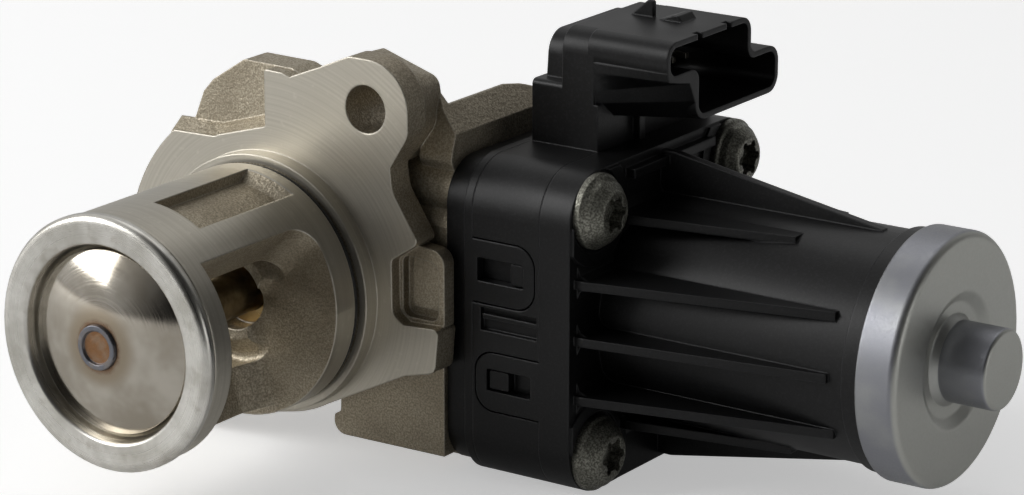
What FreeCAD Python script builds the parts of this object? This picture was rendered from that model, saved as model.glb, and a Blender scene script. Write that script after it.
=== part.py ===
"""Electric exhaust gas recirculation valve, as a parametric FreeCAD document.

Row frame, millimetres: the origin is where the valve axis crosses the mounting face of the
flange.  The nose and its poppet point along -Y, the motor points along +X, and +Z is up.
Run it with FreeCAD's own Python; it writes one STEP file per sub-part into parts/.
"""
import FreeCAD
import Part
import Sketcher
import math
import os
import re

V = FreeCAD.Vector
AXIS_X = V(1, 0, 0)
AXIS_Y = V(0, 1, 0)
AXIS_Z = V(0, 0, 1)

# Driving dimensions: alias, value in mm (or a count, or degrees), meaning.
SIZES = [
    # fits and clearances
    ("running_clearance", 0.03, "radial play of a shaft in its bush"),
    ("seat_gap", 0.03, "play between the shut poppet and its seat"),
    ("part_gap", 0.3, "air between pieces that move past each other"),
    # nose of the valve
    ("nose_radius", 18.2, "turned land of the nose"),
    ("nose_length", 36.0, "flange face to the front of the casting"),
    ("shoulder_radius", 19.25, "locating spigot behind the seal groove"),
    ("shoulder_length", 2.55, "flange face to the groove"),
    ("groove_width", 1.35, "width of the seal groove"),
    ("groove_depth", 1.7, "depth of the seal groove"),
    ("chamber_radius", 14.2, "gas chamber inside the nose"),
    ("collar_length", 4.0, "closed collar in front of the gas windows"),
    ("window_front", "=nose_length - collar_length", "front edge of the gas windows, from the face"),
    ("window_rear", 8.2, "rear edge of the gas windows, from the face"),
    ("window_top_angle", 44.0, "upper edge of the right window, degrees above +X"),
    ("window_low_angle", -78.0, "lower edge of the right window"),
    ("left_window_top_angle", 136.0, "upper edge of the left window"),
    ("left_window_low_angle", 236.0, "lower edge of the left window"),
    ("waist_radius", 10.2, "gas chamber between the windows"),
    ("waist_front", 26.0, "front end of that narrower part, from the face"),
    ("strut_recess", 1.2, "cast face of the lower strut, below the turned land"),
    ("window_corner", 4.5, "rounded rear corners of the gas windows"),
    ("pocket_low_angle", 60.0, "lower edge of the shallow pocket on the top strut"),
    ("pocket_top_angle", 87.0, "upper edge of that pocket"),
    ("pocket_front", 27.1, "front edge of the pocket, from the face"),
    ("pocket_rear", 6.0, "rear edge of the pocket"),
    ("pocket_depth", 1.6, "depth of the pocket"),
    ("pocket_slope", 1.8, "sloping rear end of the pocket"),
    # seat ring and poppet
    ("lip_stand", 1.9, "lip of the seat ring in front of the casting"),
    ("lip_dish", 0.5, "fall of the lip towards its middle"),
    ("ring_front", "=nose_length + lip_stand", "front plane of the rolled lip, from the face"),
    ("lip_radius", 18.5, "outer radius of the rolled lip"),
    ("lip_round", 1.1, "rounding of the lip"),
    ("ring_sleeve_radius", 15.6, "sleeve of the ring in the casting"),
    ("sleeve_length", 4.8, "length of that sleeve"),
    ("ring_sleeve_rear", "=nose_length - sleeve_length", "rear end of the sleeve, from the face"),
    ("seat_radius", 13.0, "sealing edge of the seat"),
    ("seat_bore_radius", 12.2, "gas bore through the ring"),
    ("funnel_radius", 14.3, "mouth of the inner cone of the ring"),
    ("head_radius", 13.24, "edge of the poppet"),
    ("head_depth", 0.15, "edge of the poppet behind the front of the casting"),
    ("crown_height", 2.95, "rise of the poppet dome over its edge"),
    ("head_edge", "=nose_length - head_depth", "edge plane of the poppet, from the face"),
    ("head_front", "=head_edge + crown_height", "crown of the poppet dome, from the face"),
    ("weld_height", 0.4, "weld bead round the end of the stem"),
    ("weld_width", 1.0, "width of that bead"),
    ("head_edge_height", 0.9, "straight edge of the poppet"),
    ("head_hub_radius", 5.2, "hub behind the poppet"),
    ("head_hub_length", 3.4, "length of that hub"),
    # stem, guide and spring
    ("stem_radius", 3.3, "valve stem"),
    ("guide_radius", 5.0, "outside of the bronze guide bush"),
    ("guide_front", 5.6, "front end of the bush, from the face"),
    ("guide_rear", 2.6, "rear end of the bush, behind the face"),
    ("mouth_radius", 5.2, "mouth of the stem hole in the gas chamber"),
    ("boss_radius", 8.0, "boss round that mouth"),
    ("boss_front", 9.2, "front of the boss, from the face"),
    ("wall_round", 2.6, "rounding between the chamber and its rear wall"),
    ("guide_boss_radius", 6.4, "boss that holds the bush on the drive side"),
    ("seal_height", 1.2, "height of the stem seal"),
    ("spring_seat", 3.0, "spring seat, in front of the face"),
    ("spring_bore_radius", 10.6, "bore that holds the spring"),
    ("spring_radius", 8.4, "mean radius of the return spring"),
    ("spring_wire", 1.3, "spring wire diameter"),
    ("spring_turns", 4.5, "turns of the spring"),
    ("stem_neck", "=stem_radius * 0.7", "thin tail of the stem, in the retainer and the carrier"),
    ("retainer_radius", 9.8, "spring retainer"),
    ("retainer_thickness", 1.0, "thickness of the retainer"),
    # drive: cam, roller and shaft
    ("lift", 6.5, "valve stroke"),
    ("cam_travel", 140.0, "shaft turn for the full stroke, degrees"),
    ("cam_start_radius", 8.0, "roller track radius with the valve shut"),
    ("shaft_y", 24.0, "output shaft axis behind the face"),
    ("shaft_radius", 3.5, "output shaft"),
    ("roller_radius", 2.4, "cam roller"),
    ("roller_pin_radius", 1.3, "pin of the roller"),
    ("carrier_half_width", 4.0, "stem carrier, half its width along X"),
    ("carrier_half_height", 3.6, "stem carrier, half its height"),
    ("carrier_length", 6.0, "stem carrier along the stem"),
    ("cam_left", 10.2, "left face of the cam disc"),
    ("cam_thickness", 5.6, "thickness of the cam disc"),
    ("cam_track_depth", 3.8, "depth of the roller track"),
    ("cam_wall", 1.4, "wall outside the track"),
    ("cam_inside", 2.0, "where the cam plate starts, from the shaft's axis"),
    ("cam_hub_wall", 2.4, "wall of the cam's hub round the shaft"),
    ("journal_step", 0.5, "step down of the shaft in its bush"),
    ("bush_wall", 1.2, "bush of the shaft, outside the shaft's own radius"),
    ("bush_set", 0.6, "outer end of that bush, inside the end wall"),
    ("bearing_wall", 3.5, "bearing of the shaft, outside the shaft"),
    ("bearing_set", 0.5, "bearing behind each face of the gear carrier"),
    ("roller_arm_wall", 1.4, "arm of the stem carrier round the roller pin"),
    # casting behind the flange
    ("flange_thickness", 4.4, "machined flange"),
    ("ear_thickness", 10.6, "thickness at the ears"),
    ("lug_step", 2.4, "cast lug set back from the machined face"),
    ("lug_depth", 6.4, "depth of that lug"),
    ("lug_ramp", 1.9, "slope from the machined face up to the lug"),
    ("ear_radius", 7.3, "radius of an ear"),
    ("ear_x", 17.5, "upper ear hole"),
    ("ear_z", 28.1, "upper ear hole"),
    ("low_ear_x", -27.0, "lower ear hole"),
    ("low_ear_z", -18.5, "lower ear hole"),
    ("ear_hole_radius", 3.5, "clearance hole for an M6 screw"),
    ("flange_radius", 26.4, "round left side of the flange"),
    ("flange_low_radius", 20.0, "flange below the nose"),
    ("drum_radius", 21.4, "outside of the cam housing"),
    ("cam_room_radius", 19.6, "inside of the cam housing"),
    ("drum_left", -14.4, "left end of the cam housing"),
    ("drum_wall", 3.6, "left end wall"),
    ("rim_left", 23.4, "left side of the square rim"),
    ("pad_depth", 2.4, "cast pad in the small frame, behind the machined face"),
    ("pad_groove", 3.5, "floor of the groove round that pad"),
    ("post_radius", 4.6, "posts of the casting round the screws"),
    ("post_floor", 0.8, "floor of a post behind the tip of its screw"),
    ("room_post_radius", 4.0, "the same posts inside the cam housing"),
    ("tip_room", 0.4, "hole beyond the tip of a screw"),
    ("ear_spot_radius", 6.8, "spot face behind an ear"),
    ("carrier_room", 1.2, "room round the stem carrier"),
    # plastic block: three layers with one outline
    ("carrier_left", 27.6, "left face of the gear carrier"),
    ("cover_left", 32.6, "joint between gear carrier and connector cover"),
    ("housing_left", 44.0, "joint between connector cover and motor housing"),
    ("flange_right", 49.1, "right face of the motor housing flange"),
    ("block_front", 4.65, "front face of the block"),
    ("block_rear", 52.9, "rear face of the block"),
    ("block_top", 21.6, "top face of the block"),
    ("block_bottom", -25.8, "bottom face of the block"),
    ("block_corner", 7.3, "corner radius of the block"),
    ("block_wall", 2.8, "wall of the gear chamber"),
    ("carrier_step", 1.4, "full-size rim of the gear carrier"),
    ("carrier_inset", 0.9, "the rest of its outline, set in from that rim"),
    ("partition", 2.4, "wall between gears and motor"),
    # latches between the layers, the same on the front and rear faces
    ("latch_depth", 1.6, "thickness of a latch tongue"),
    ("latch_play", 0.25, "air round a tongue in its recess"),
    ("latch_round", 3.2, "round end of that recess"),
    ("latch_root", 0.5, "root of a tongue in its own layer"),
    ("slot_round", 0.3, "corner radius of the slot in a tongue"),
    ("catch_round", 0.2, "corner radius of a catch"),
    ("catch_sink", 0.3, "front of a catch behind the front face"),
    ("catch_depth", 2.1, "depth of a catch"),
    ("upper_end", 0.9, "end of the carrier's tongue, short of the cover's right face"),
    ("upper_low", 1.4, "lower edge of the carrier's tongue"),
    ("upper_height", 9.2, "height of that tongue"),
    ("upper_slot_set", 0.8, "left end of its slot, from the cover's left face"),
    ("upper_slot_length", 7.9, "length of its slot"),
    ("upper_slot_rise", 3.1, "slot over the lower edge"),
    ("upper_slot_height", 3.5, "height of the slot"),
    ("upper_catch_set", 6.4, "left end of its catch, from the cover's left face"),
    ("upper_catch_length", 2.1, "length of its catch"),
    ("upper_catch_play", 0.2, "air over and under that catch in the slot"),
    ("lower_start", 0.6, "start of the housing's tongue, from the cover's left face"),
    ("lower_low", -14.5, "lower edge of the housing's tongue"),
    ("lower_height", 8.6, "height of that tongue"),
    ("lower_slot_set", 2.4, "left end of its slot, from the cover's left face"),
    ("lower_slot_length", 7.6, "length of its slot"),
    ("lower_slot_rise", 2.9, "slot over the lower edge"),
    ("lower_slot_height", 3.3, "height of the slot"),
    ("lower_catch_set", 2.8, "left end of its catch, from the cover's left face"),
    ("lower_catch_length", 3.2, "length of its catch"),
    ("lower_catch_play", 0.3, "air over and under that catch in the slot"),
    ("trough_set", 1.4, "left end of the trough between the tongues, from the cover's left face"),
    ("trough_low", -2.7, "lower edge of that trough"),
    ("trough_height", 3.4, "height of the trough"),
    ("trough_depth", 0.9, "depth of the trough"),
    ("trough_bar_rise", 1.8, "bar in the trough, over its lower edge"),
    ("trough_bar_height", 0.7, "height of that bar"),
    ("trough_bar_sink", 0.2, "bar over the floor of the trough"),
    ("trough_margin", 0.4, "trough and bar short of their ends"),
    # gear train
    ("motor_y", 28.8, "motor axis"),
    ("motor_z", -2.0, "motor axis"),
    ("fast_module", 0.5, "module of the first stage"),
    ("slow_module", 0.75, "module of the second stage"),
    ("motor_teeth", 11, "motor pinion"),
    ("wheel_teeth", 34, "large wheel of the intermediate gear"),
    ("pinion_teeth", 10, "small pinion of the intermediate gear"),
    ("output_teeth", 32, "output gear"),
    ("backlash", 0.07, "tooth thinning of each gear"),
    ("output_gear_width", 3.4, "face width of the output gear"),
    ("wheel_width", 3.2, "face width of the large wheel"),
    ("gear_gap", 0.4, "gap between the carrier and the gears"),
    ("axle_radius", 1.5, "axle of the intermediate gear"),
    ("magnet_radius", 5.6, "ring magnet of the position sensor"),
    ("magnet_thickness", 1.0, "thickness of that magnet"),
    ("magnet_rim", 0.6, "web pocket of the output gear, outside the magnet"),
    ("web_depth", 1.0, "depth of that pocket"),
    ("rim_depth", 2.4, "rim of the output gear inside its pitch circle"),
    ("axle_set", 1.5, "axle in the gear carrier, from its left face"),
    ("axle_end", 0.8, "end of the axle, short of the cover's right face"),
    ("pinion_shift", 0.3, "motor pinion beyond the large wheel"),
    ("board_thickness", 1.2, "circuit board of the sensor"),
    ("board_gap", 3.8, "front edge of the board, from the chamber's front wall"),
    ("board_width", 9.5, "width of the board"),
    ("board_low", -12.0, "lower end of the board"),
    ("board_high", 13.0, "upper end of the board"),
    ("board_slant", 5.5, "height of the slanted upper corner"),
    ("board_crest", 3.0, "width of the board at its upper end"),
    ("chip_height", 1.4, "sensing chip on the board"),
    ("chip_width", 3.0, "width of that chip"),
    ("chip_reach", 6.5, "front of the chip, from the shaft's axis"),
    ("chip_length", 4.0, "length of that chip"),
    # motor
    ("barrel_radius", 16.75, "outside of the motor housing"),
    ("barrel_right", 91.5, "right end of the motor housing"),
    ("rib_thickness", 1.3, "ribs of the motor housing"),
    ("rib_proud", 0.6, "height of a rib over the barrel at its end"),
    ("rib_end", 5.0, "ends of the side ribs, from the right end of the barrel"),
    ("rib_upper", 8.3, "upper side rib, above the motor axis"),
    ("rib_lower", 8.7, "lower side rib, below the motor axis"),
    ("rib_outer", 15.3, "short outer ribs, above and below the motor axis"),
    ("rib_foot", 1.7, "rounded foot of a rib on the flange"),
    ("ledge_height", 1.4, "ledge on the flange, below its top edge"),
    ("ledge_width", 1.5, "ledge on the flange, along X"),
    ("screw_boss", 1.9, "wall round the seat of each screw head"),
    ("seat_height", 0.5, "height of that wall"),
    ("can_radius", 14.5, "motor can"),
    ("can_wall", 1.0, "wall of the can"),
    ("can_floor", 1.4, "closed end of the can"),
    ("can_set", 0.5, "that end, inside the motor housing"),
    ("can_nose_radius", 4.9, "inner part of the closed end"),
    ("nose_passage_radius", 5.2, "passage for the motor's nose"),
    ("bush_radius", 4.2, "bushes of the motor shaft"),
    ("front_bush_length", 4.0, "bush in the closed end of the can"),
    ("rear_bush_length", 5.0, "bush in the stub of the end cap"),
    ("shaft_room", 0.5, "end of the motor shaft, short of its bush"),
    ("cap_radius", 18.2, "steel end cap"),
    ("cap_length", 6.0, "height of the end cap"),
    ("cap_right", "=barrel_right + cap_length", "front face of the end cap"),
    ("cap_dish_radius", 9.8, "dished ring round the bearing stub"),
    ("cap_dish_depth", 1.0, "depth of that dish"),
    ("cap_wall", 1.6, "front wall of the end cap"),
    ("cap_round", 1.1, "rounded edge of the end cap"),
    ("stub_radius", 5.8, "bearing stub on the end cap"),
    ("stub_length", 7.2, "length of the stub"),
    ("stub_right", "=cap_right + stub_length", "end of the stub"),
    ("stub_wall", 1.5, "end wall of the stub"),
    ("stub_foot", 0.8, "slope round the foot of the stub"),
    ("dish_slope", 1.6, "slope of the dish"),
    ("motor_shaft_radius", 1.5, "motor shaft"),
    ("armature_radius", 8.8, "armature core"),
    ("armature_length", 24.0, "armature core"),
    ("armature_shift", 2.0, "armature right of the middle of the motor housing"),
    ("winding_slots", 5, "slots in the armature core"),
    ("slot_width", 1.4, "width of a winding slot"),
    ("slot_floor", 4.4, "floor of a winding slot, from the axis"),
    ("commutator_radius", 4.0, "commutator"),
    ("commutator_gap", 3.0, "between the core and the commutator"),
    ("commutator_length", 7.0, "length of the commutator"),
    ("magnet_split", 4.8, "gap between the two field magnets"),
    ("magnet_gap", 0.5, "air between armature and field magnets"),
    ("field_magnet_thickness", 3.6, "field magnets"),
    # screws
    ("screw_spacing", 35.8, "spacing of the four cover screws, both ways"),
    ("screw_radius", 2.4, "screw shank"),
    ("screw_head_radius", 5.45, "screw head"),
    ("screw_head_height", 3.6, "screw head"),
    ("screw_rim", 1.0, "straight rim of the screw head"),
    ("screw_dome_radius", 4.6, "domed part of the screw head"),
    ("screw_socket_radius", 2.8, "driving socket"),
    ("screw_socket_depth", 2.2, "driving socket"),
    ("screw_length", 32.0, "shank under the head"),
    ("lobe_radius", 0.62, "lobes of the driving socket"),
    ("screw_play", 0.2, "air round a screw in the plastic"),
    ("sleeve_wall", 2.2, "plastic round a screw in the gear chamber"),
    ("head_play", 0.6, "air round a screw head in its seat"),
    # connector
    ("tower_left", 32.8, "left face of the connector tower"),
    ("tower_front", 19.4, "front face of the tower"),
    ("tower_rear", 49.7, "rear face of the tower"),
    ("tower_shoulder", 30.8, "height of the front shoulder"),
    ("tower_step", 38.9, "right end of that shoulder"),
    ("tower_top", 38.8, "top of the tower"),
    ("tower_dome", 37.3, "top of its rear left part"),
    ("tower_right", 43.2, "right end of the tower, above its foot"),
    ("shroud_right", 55.5, "mouth of the connector shroud"),
    ("shroud_upper_front", 19.4, "front side of the upper key section"),
    ("shroud_upper_rear", 41.9, "rear side of the upper key section"),
    ("shroud_lower_front", 27.0, "front side of the lower section"),
    ("shroud_lower_rear", 49.7, "rear side of the lower section"),
    ("shroud_split", 33.1, "height where the two sections meet"),
    ("shroud_bottom", 26.1, "underside of the shroud"),
    ("shroud_wall", 0.8, "wall of the shroud"),
    ("shroud_corner", 2.6, "corner radius of the shroud"),
    ("socket_depth", 18.0, "depth of the connector cavity"),
    ("pin_recess", 13.0, "tips of the pins, behind the mouth"),
    ("pin_count", 5, "contact pins"),
    ("pin_pitch", 3.6, "pitch of the contact pins"),
    ("pin_width", 0.8, "square of a pin"),
    ("pin_lift", 0.6, "pins over the middle of the lower section"),
    ("pin_foot", 0.4, "foot of a pin over the inner face of the block"),
    ("notch_front", 28.0, "first notch in the rim of the mouth"),
    ("notch_spacing", 7.8, "from that notch to the second"),
    ("notch_width", 1.4, "width of a notch"),
    ("notch_depth", 1.0, "depth of a notch"),
    ("wedge_set", 10.5, "left end of the locking wedge, from the mouth"),
    ("wedge_length", 5.4, "length of the wedge"),
    ("wedge_height", 0.9, "height of the wedge"),
    ("wedge_width", 3.8, "width of the wedge"),
    ("wedge_place", 12.4, "front of the wedge, behind the front of the shroud"),
    ("fin_set", 14.9, "left end of the guide fin, from the mouth"),
    ("fin_length", 4.2, "length of the fin"),
    ("fin_height", 2.5, "height of the fin"),
    ("fin_width", 0.8, "width of the fin"),
    ("fin_place", 0.6, "front of the fin, behind the front of the wedge"),
]

doc = FreeCAD.newDocument("egr_valve")
sheet = doc.addObject("Spreadsheet::Sheet", "size")
ALIASES = set()
for row, (alias, value, meaning) in enumerate(SIZES, start=1):
    sheet.set("A%d" % row, meaning)
    sheet.set("B%d" % row, str(value))
    sheet.setAlias("B%d" % row, alias)
    ALIASES.add(alias)
doc.recompute()


def bind(text):
    """Return an expression in which every alias is read from the sheet."""
    def lookup(match):
        word = match.group(0)
        return "size." + word if word in ALIASES else word
    return re.sub(r"[a-z_][a-z0-9_]*", lookup, str(text))


def val(text):
    """Return the number that an expression in sheet aliases has now."""
    return float(sheet.evalExpression(bind(text)))


# ---------------------------------------------------------------- document helpers
NODES = []


def finish_node(obj, label):
    """Give a finished sub-part its label and put it on the export list."""
    obj.Label = label
    NODES.append(obj)
    return obj


def feature(label, shape):
    """A sub-part whose shape is worked out by Part's own functions."""
    obj = doc.addObject("Part::Feature", "shape_" + label)
    obj.Shape = shape
    return finish_node(obj, label)


def origin_plane(body, role):
    """One of a body's own origin planes."""
    return next(item for item in body.Origin.OriginFeatures if item.Role == role)


def bound_outline(sketch, points):
    """Draw a closed outline whose corners are bound to the sheet."""
    corners = [(val(a), val(b)) for a, b in points]
    count = len(corners)
    for i, (a, b) in enumerate(corners):
        c, d = corners[(i + 1) % count]
        sketch.addGeometry(Part.LineSegment(V(a, b, 0), V(c, d, 0)))
    for i in range(count):
        sketch.addConstraint(Sketcher.Constraint("Coincident", i, 2, (i + 1) % count, 1))
    for i, (a, b) in enumerate(points):
        for kind, tag, text, number in (("DistanceX", "x", a, corners[i][0]),
                                        ("DistanceY", "y", b, corners[i][1])):
            index = sketch.addConstraint(Sketcher.Constraint(kind, i, 1, number))
            sketch.renameConstraint(index, "%s%d" % (tag, i))
            sketch.setExpression("Constraints.%s%d" % (tag, i), bind(text))


def turned_body(label, axis, profile, place=("0", "0", "0")):
    """A PartDesign body turned about X or Y from a bound half profile.

    For axis "X" a profile point is (x, radius); for axis "Y" it is (radius, y).
    """
    body = doc.addObject("PartDesign::Body", "body_" + label)
    sketch = body.newObject("Sketcher::SketchObject", "profile_" + label)
    sketch.AttachmentSupport = (origin_plane(body, "XY_Plane"), [""])
    sketch.MapMode = "FlatFace"
    bound_outline(sketch, profile)
    turn = body.newObject("PartDesign::Revolution", "turn_" + label)
    turn.Profile = sketch
    turn.ReferenceAxis = (sketch, ["H_Axis" if axis == "X" else "V_Axis"])
    turn.Angle = 360
    body.Tip = turn
    for letter, text in zip("xyz", place):
        body.setExpression("Placement.Base." + letter, bind(text))
    doc.recompute()
    return finish_node(body, label)


def dress_edges(body, kind, amount, wanted):
    """Fillet or chamfer the edges of a body's tip that the test picks."""
    base = body.Tip
    names = ["Edge%d" % (i + 1) for i, edge in enumerate(base.Shape.Edges) if wanted(edge)]
    dress = body.newObject("PartDesign::" + kind, kind.lower() + "_" + body.Label)
    dress.Base = (base, names)
    dress.setExpression("Radius" if kind == "Fillet" else "Size", bind(amount))
    body.Tip = dress
    doc.recompute()
    return dress


def ring_edge(axis, where, radius):
    """Test for the circular edge at one place along an axis."""
    station, size = val(where), val(radius)

    def test(edge):
        curve = edge.Curve
        if not isinstance(curve, Part.Circle):
            return False
        along = getattr(curve.Center, axis.lower())
        return abs(along - station) < 0.01 and abs(curve.Radius - size) < 0.01
    return test


# ---------------------------------------------------------------- shape helpers
def frame_xz(y):
    """Placement that lays a drawing (x, z) into the plane y = constant, facing +Y."""
    return FreeCAD.Placement(V(0, y, 0), FreeCAD.Rotation(AXIS_X, 90))


def frame_yz(x):
    """Placement that lays a drawing (y, z) into the plane x = constant, facing +X."""
    turn = FreeCAD.Rotation(V(0, 1, 0), V(0, 0, 1), V(1, 0, 0), "XYZ")
    return FreeCAD.Placement(V(x, 0, 0), turn)


def rounded(corners):
    """Closed wire in XY through corners (x, y, radius), each corner rounded."""
    count = len(corners)
    marks = []
    for i, (x, y, radius) in enumerate(corners):
        here = V(x, y, 0)
        back = V(*corners[i - 1][:2], 0) - here
        on = V(*corners[(i + 1) % count][:2], 0) - here
        if radius <= 0:
            marks.append((here, None, here))
            continue
        angle = back.getAngle(on)
        reach = radius / math.tan(angle / 2)
        bisector = (back.normalize() + on.normalize()).normalize()
        centre = here + bisector * (radius / math.sin(angle / 2))
        marks.append((here + back * reach, centre - bisector * radius, here + on * reach))
    edges = []
    for i, (start, middle, end) in enumerate(marks):
        if middle is not None:
            edges.append(Part.Arc(start, middle, end).toShape())
        following = marks[(i + 1) % count][0]
        if (following - end).Length > 1e-6:
            edges.append(Part.LineSegment(end, following).toShape())
    return Part.Wire(edges)


def slab(corners, place, depth):
    """Prism of a rounded outline, from its plane along that plane's normal."""
    face = Part.Face(rounded(corners))
    face.Placement = place
    normal = place.Rotation.multVec(AXIS_Z)
    return face.extrude(normal * depth)


def slab_xz(corners, low, high):
    """Prism of an (x, z) outline between two stations along Y."""
    return slab(corners, frame_xz(high), high - low)


def slab_yz(corners, low, high):
    """Prism of a (y, z) outline between two stations along X."""
    return slab(corners, frame_yz(low), high - low)


def box(low, high):
    """Box between two opposite corners."""
    return Part.makeBox(high[0] - low[0], high[1] - low[1], high[2] - low[2], V(*low))


def rod_x(radius, low, high, y=0.0, z=0.0):
    """Cylinder along X."""
    return Part.makeCylinder(radius, high - low, V(low, y, z), AXIS_X)


def rod_y(radius, low, high, x=0.0, z=0.0):
    """Cylinder along Y."""
    return Part.makeCylinder(radius, high - low, V(x, low, z), AXIS_Y)


def turned(points, axis):
    """Solid turned about X or Y from a half profile of (along, radius[, rounding]) points."""
    marks = [(point[0], point[1], point[2] if len(point) > 2 else 0) for point in points]
    if axis == "Y":
        marks = [(radius, along, rounding) for along, radius, rounding in marks]
    direction = AXIS_Y if axis == "Y" else AXIS_X
    return Part.Face(rounded(marks)).revolve(V(0, 0, 0), direction, 360)


def rectangle(left, right, low, high, radius):
    """Corners of a rectangle with one corner radius."""
    return [(left, low, radius), (right, low, radius), (right, high, radius), (left, high, radius)]


def fuse(shapes):
    """One solid from several that touch or overlap."""
    return shapes[0].multiFuse(shapes[1:]).removeSplitter()


# ---------------------------------------------------------------- nose group
def seat_ring():
    """Stainless ring with a rolled lip, pressed into the front of the casting."""
    lip_rear = "-nose_length"
    cone = "-(head_edge - head_edge_height)"
    body = turned_body("seat_ring", "Y", [
        ("seat_bore_radius", "-ring_sleeve_rear"),
        ("ring_sleeve_radius", "-ring_sleeve_rear"),
        ("ring_sleeve_radius", lip_rear),
        ("lip_radius", lip_rear),
        ("lip_radius", "-ring_front"),
        ("funnel_radius", "-(ring_front - lip_dish)"),
        ("head_radius + 0.5", cone + " - seat_gap - 0.45"),
        ("seat_radius", cone + " + head_radius - seat_radius + seat_gap"),
        ("seat_bore_radius", cone + " + head_radius - seat_bore_radius + seat_gap"),
    ])
    dress_edges(body, "Fillet", "lip_round", ring_edge("Y", "-ring_front", "lip_radius"))
    dress_edges(body, "Fillet", "lip_round / 2", ring_edge("Y", "-(ring_front - lip_dish)", "funnel_radius"))
    return body


def valve_head():
    """Domed poppet with a conical back and a hub for the stem."""
    crown, edge = val("head_front"), val("head_edge")
    radius = val("head_radius")
    rise = crown - edge
    sphere = (radius ** 2 + rise ** 2) / (2 * rise)
    thickness = val("head_edge_height")
    back = -(edge - thickness)
    hub = val("head_hub_radius")
    rear = back + val("head_hub_length") + 1.0
    blank = turned([(-crown - 1, 0), (-crown - 1, radius), (back, radius), (back + 1.0, radius - 1.0),
                    (back + 1.6, hub + 1.5), (back + 3.0, hub), (rear, hub), (rear, 0)], "Y")
    dome = Part.makeSphere(sphere, V(0, -crown + sphere, 0))
    stem = rod_y(val("stem_radius"), -crown - 2, rear + 1)
    return feature("valve_head", blank.common(dome).cut(stem))


def valve_stem():
    """Ground stem with the weld bead at its front end, and a seat for the carrier behind."""
    crown = val("head_front")
    radius = val("stem_radius")
    bead, width = val("weld_height"), val("weld_width")
    shoulder = val("shaft_y - cam_start_radius - carrier_length / 2 - retainer_thickness")
    tail = val("shaft_y - cam_start_radius + carrier_length / 2")
    neck = val("stem_neck")
    body = turned([(-crown, 0), (-crown, radius - width), (-crown - bead, radius - width * 0.8, bead / 3),
                   (-crown - bead, radius - width * 0.1, bead / 3), (-crown + bead / 2, radius),
                   (shoulder, radius), (shoulder, neck), (tail, neck), (tail, 0)], "Y")
    return feature("valve_stem", body)


def guide_bush():
    """Bronze bush that guides the stem."""
    return turned_body("guide_bush", "Y", [
        ("stem_radius + running_clearance", "-guide_front"),
        ("guide_radius", "-guide_front"),
        ("guide_radius", "guide_rear"),
        ("stem_radius + running_clearance", "guide_rear"),
    ])


def stem_seal():
    """Lip seal on the drive end of the bush."""
    return turned_body("stem_seal", "Y", [
        ("stem_radius + running_clearance", "guide_rear"),
        ("guide_boss_radius - 0.4", "guide_rear"),
        ("guide_boss_radius - 0.4", "guide_rear + seal_height * 0.6"),
        ("stem_radius + 1.1", "guide_rear + seal_height"),
        ("stem_radius + running_clearance", "guide_rear + seal_height"),
    ])


def nose_seal_ring():
    """Rubber ring in the groove of the nose."""
    middle = val("shoulder_length + groove_width / 2")
    wire = val("groove_width / 2")
    floor = val("nose_radius - groove_depth")
    ring = Part.makeTorus(floor + wire * 1.25, wire, V(0, -middle, 0), AXIS_Y)
    return feature("nose_seal_ring", ring)


def return_spring():
    """Closing spring: a wire coil between the casting and the retainer."""
    wire = val("spring_wire")
    low = val("-spring_seat") + wire / 2 + 0.02
    high = val("shaft_y - cam_start_radius - carrier_length / 2 - retainer_thickness") - wire / 2 - 0.02
    turns, radius = val("spring_turns"), val("spring_radius")
    steps_per_turn, sides = 14, 6
    steps = int(turns * steps_per_turn)
    sections = []
    for i in range(steps + 1):
        angle = 2 * math.pi * turns * i / steps
        centre = V(radius * math.cos(angle), low + (high - low) * i / steps, radius * math.sin(angle))
        outward = V(math.cos(angle), 0, math.sin(angle))
        corners = []
        for k in range(sides):
            turn = 2 * math.pi * k / sides
            corners.append(centre + (outward * math.cos(turn) + AXIS_Y * math.sin(turn)) * (wire / 2))
        sections.append(Part.makePolygon(corners + corners[:1]))
    return feature("return_spring", Part.makeLoft(sections, True, True))


def spring_retainer():
    """Washer that carries the spring on the stem."""
    seat = "shaft_y - cam_start_radius - carrier_length / 2"
    return turned_body("spring_retainer", "Y", [
        ("stem_neck", seat + " - retainer_thickness"),
        ("retainer_radius", seat + " - retainer_thickness"),
        ("retainer_radius", seat),
        ("stem_neck", seat),
    ])


# ---------------------------------------------------------------- cam drive
def roller_y():
    """Roller axis with the valve shut."""
    return val("shaft_y - cam_start_radius")


def stem_carrier():
    """Block on the stem end that holds the roller pin."""
    width, height = val("carrier_half_width"), val("carrier_half_height")
    middle, half = roller_y(), val("carrier_length / 2")
    corners = rectangle(-width, width, -height, height, 1.2)
    block = slab_xz(corners, middle - half, middle + half)
    arm = rod_x(val("roller_pin_radius + roller_arm_wall"), width - 1, val("cam_left") - 0.6, middle)
    bore = rod_y(val("stem_neck"), middle - half - 1, middle + half + 1)
    pin_hole = rod_x(val("roller_pin_radius"), val("carrier_half_width") * 0.6, 20, middle)
    return feature("stem_carrier", fuse([block, arm]).cut(bore).cut(pin_hole))


def roller_pin():
    """Pin pressed into the carrier."""
    pin = rod_x(val("roller_pin_radius"), val("carrier_half_width") * 0.6,
                val("cam_left + cam_track_depth - part_gap"), roller_y())
    return feature("roller_pin", pin)


def cam_roller():
    """Roller that runs in the track of the cam."""
    low = val("cam_left + part_gap")
    high = val("cam_left + cam_track_depth - part_gap")
    tyre = rod_x(val("roller_radius"), low, high, roller_y())
    hole = rod_x(val("roller_pin_radius + running_clearance"), low - 1, high + 1, roller_y())
    return feature("cam_roller", tyre.cut(hole))


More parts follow.
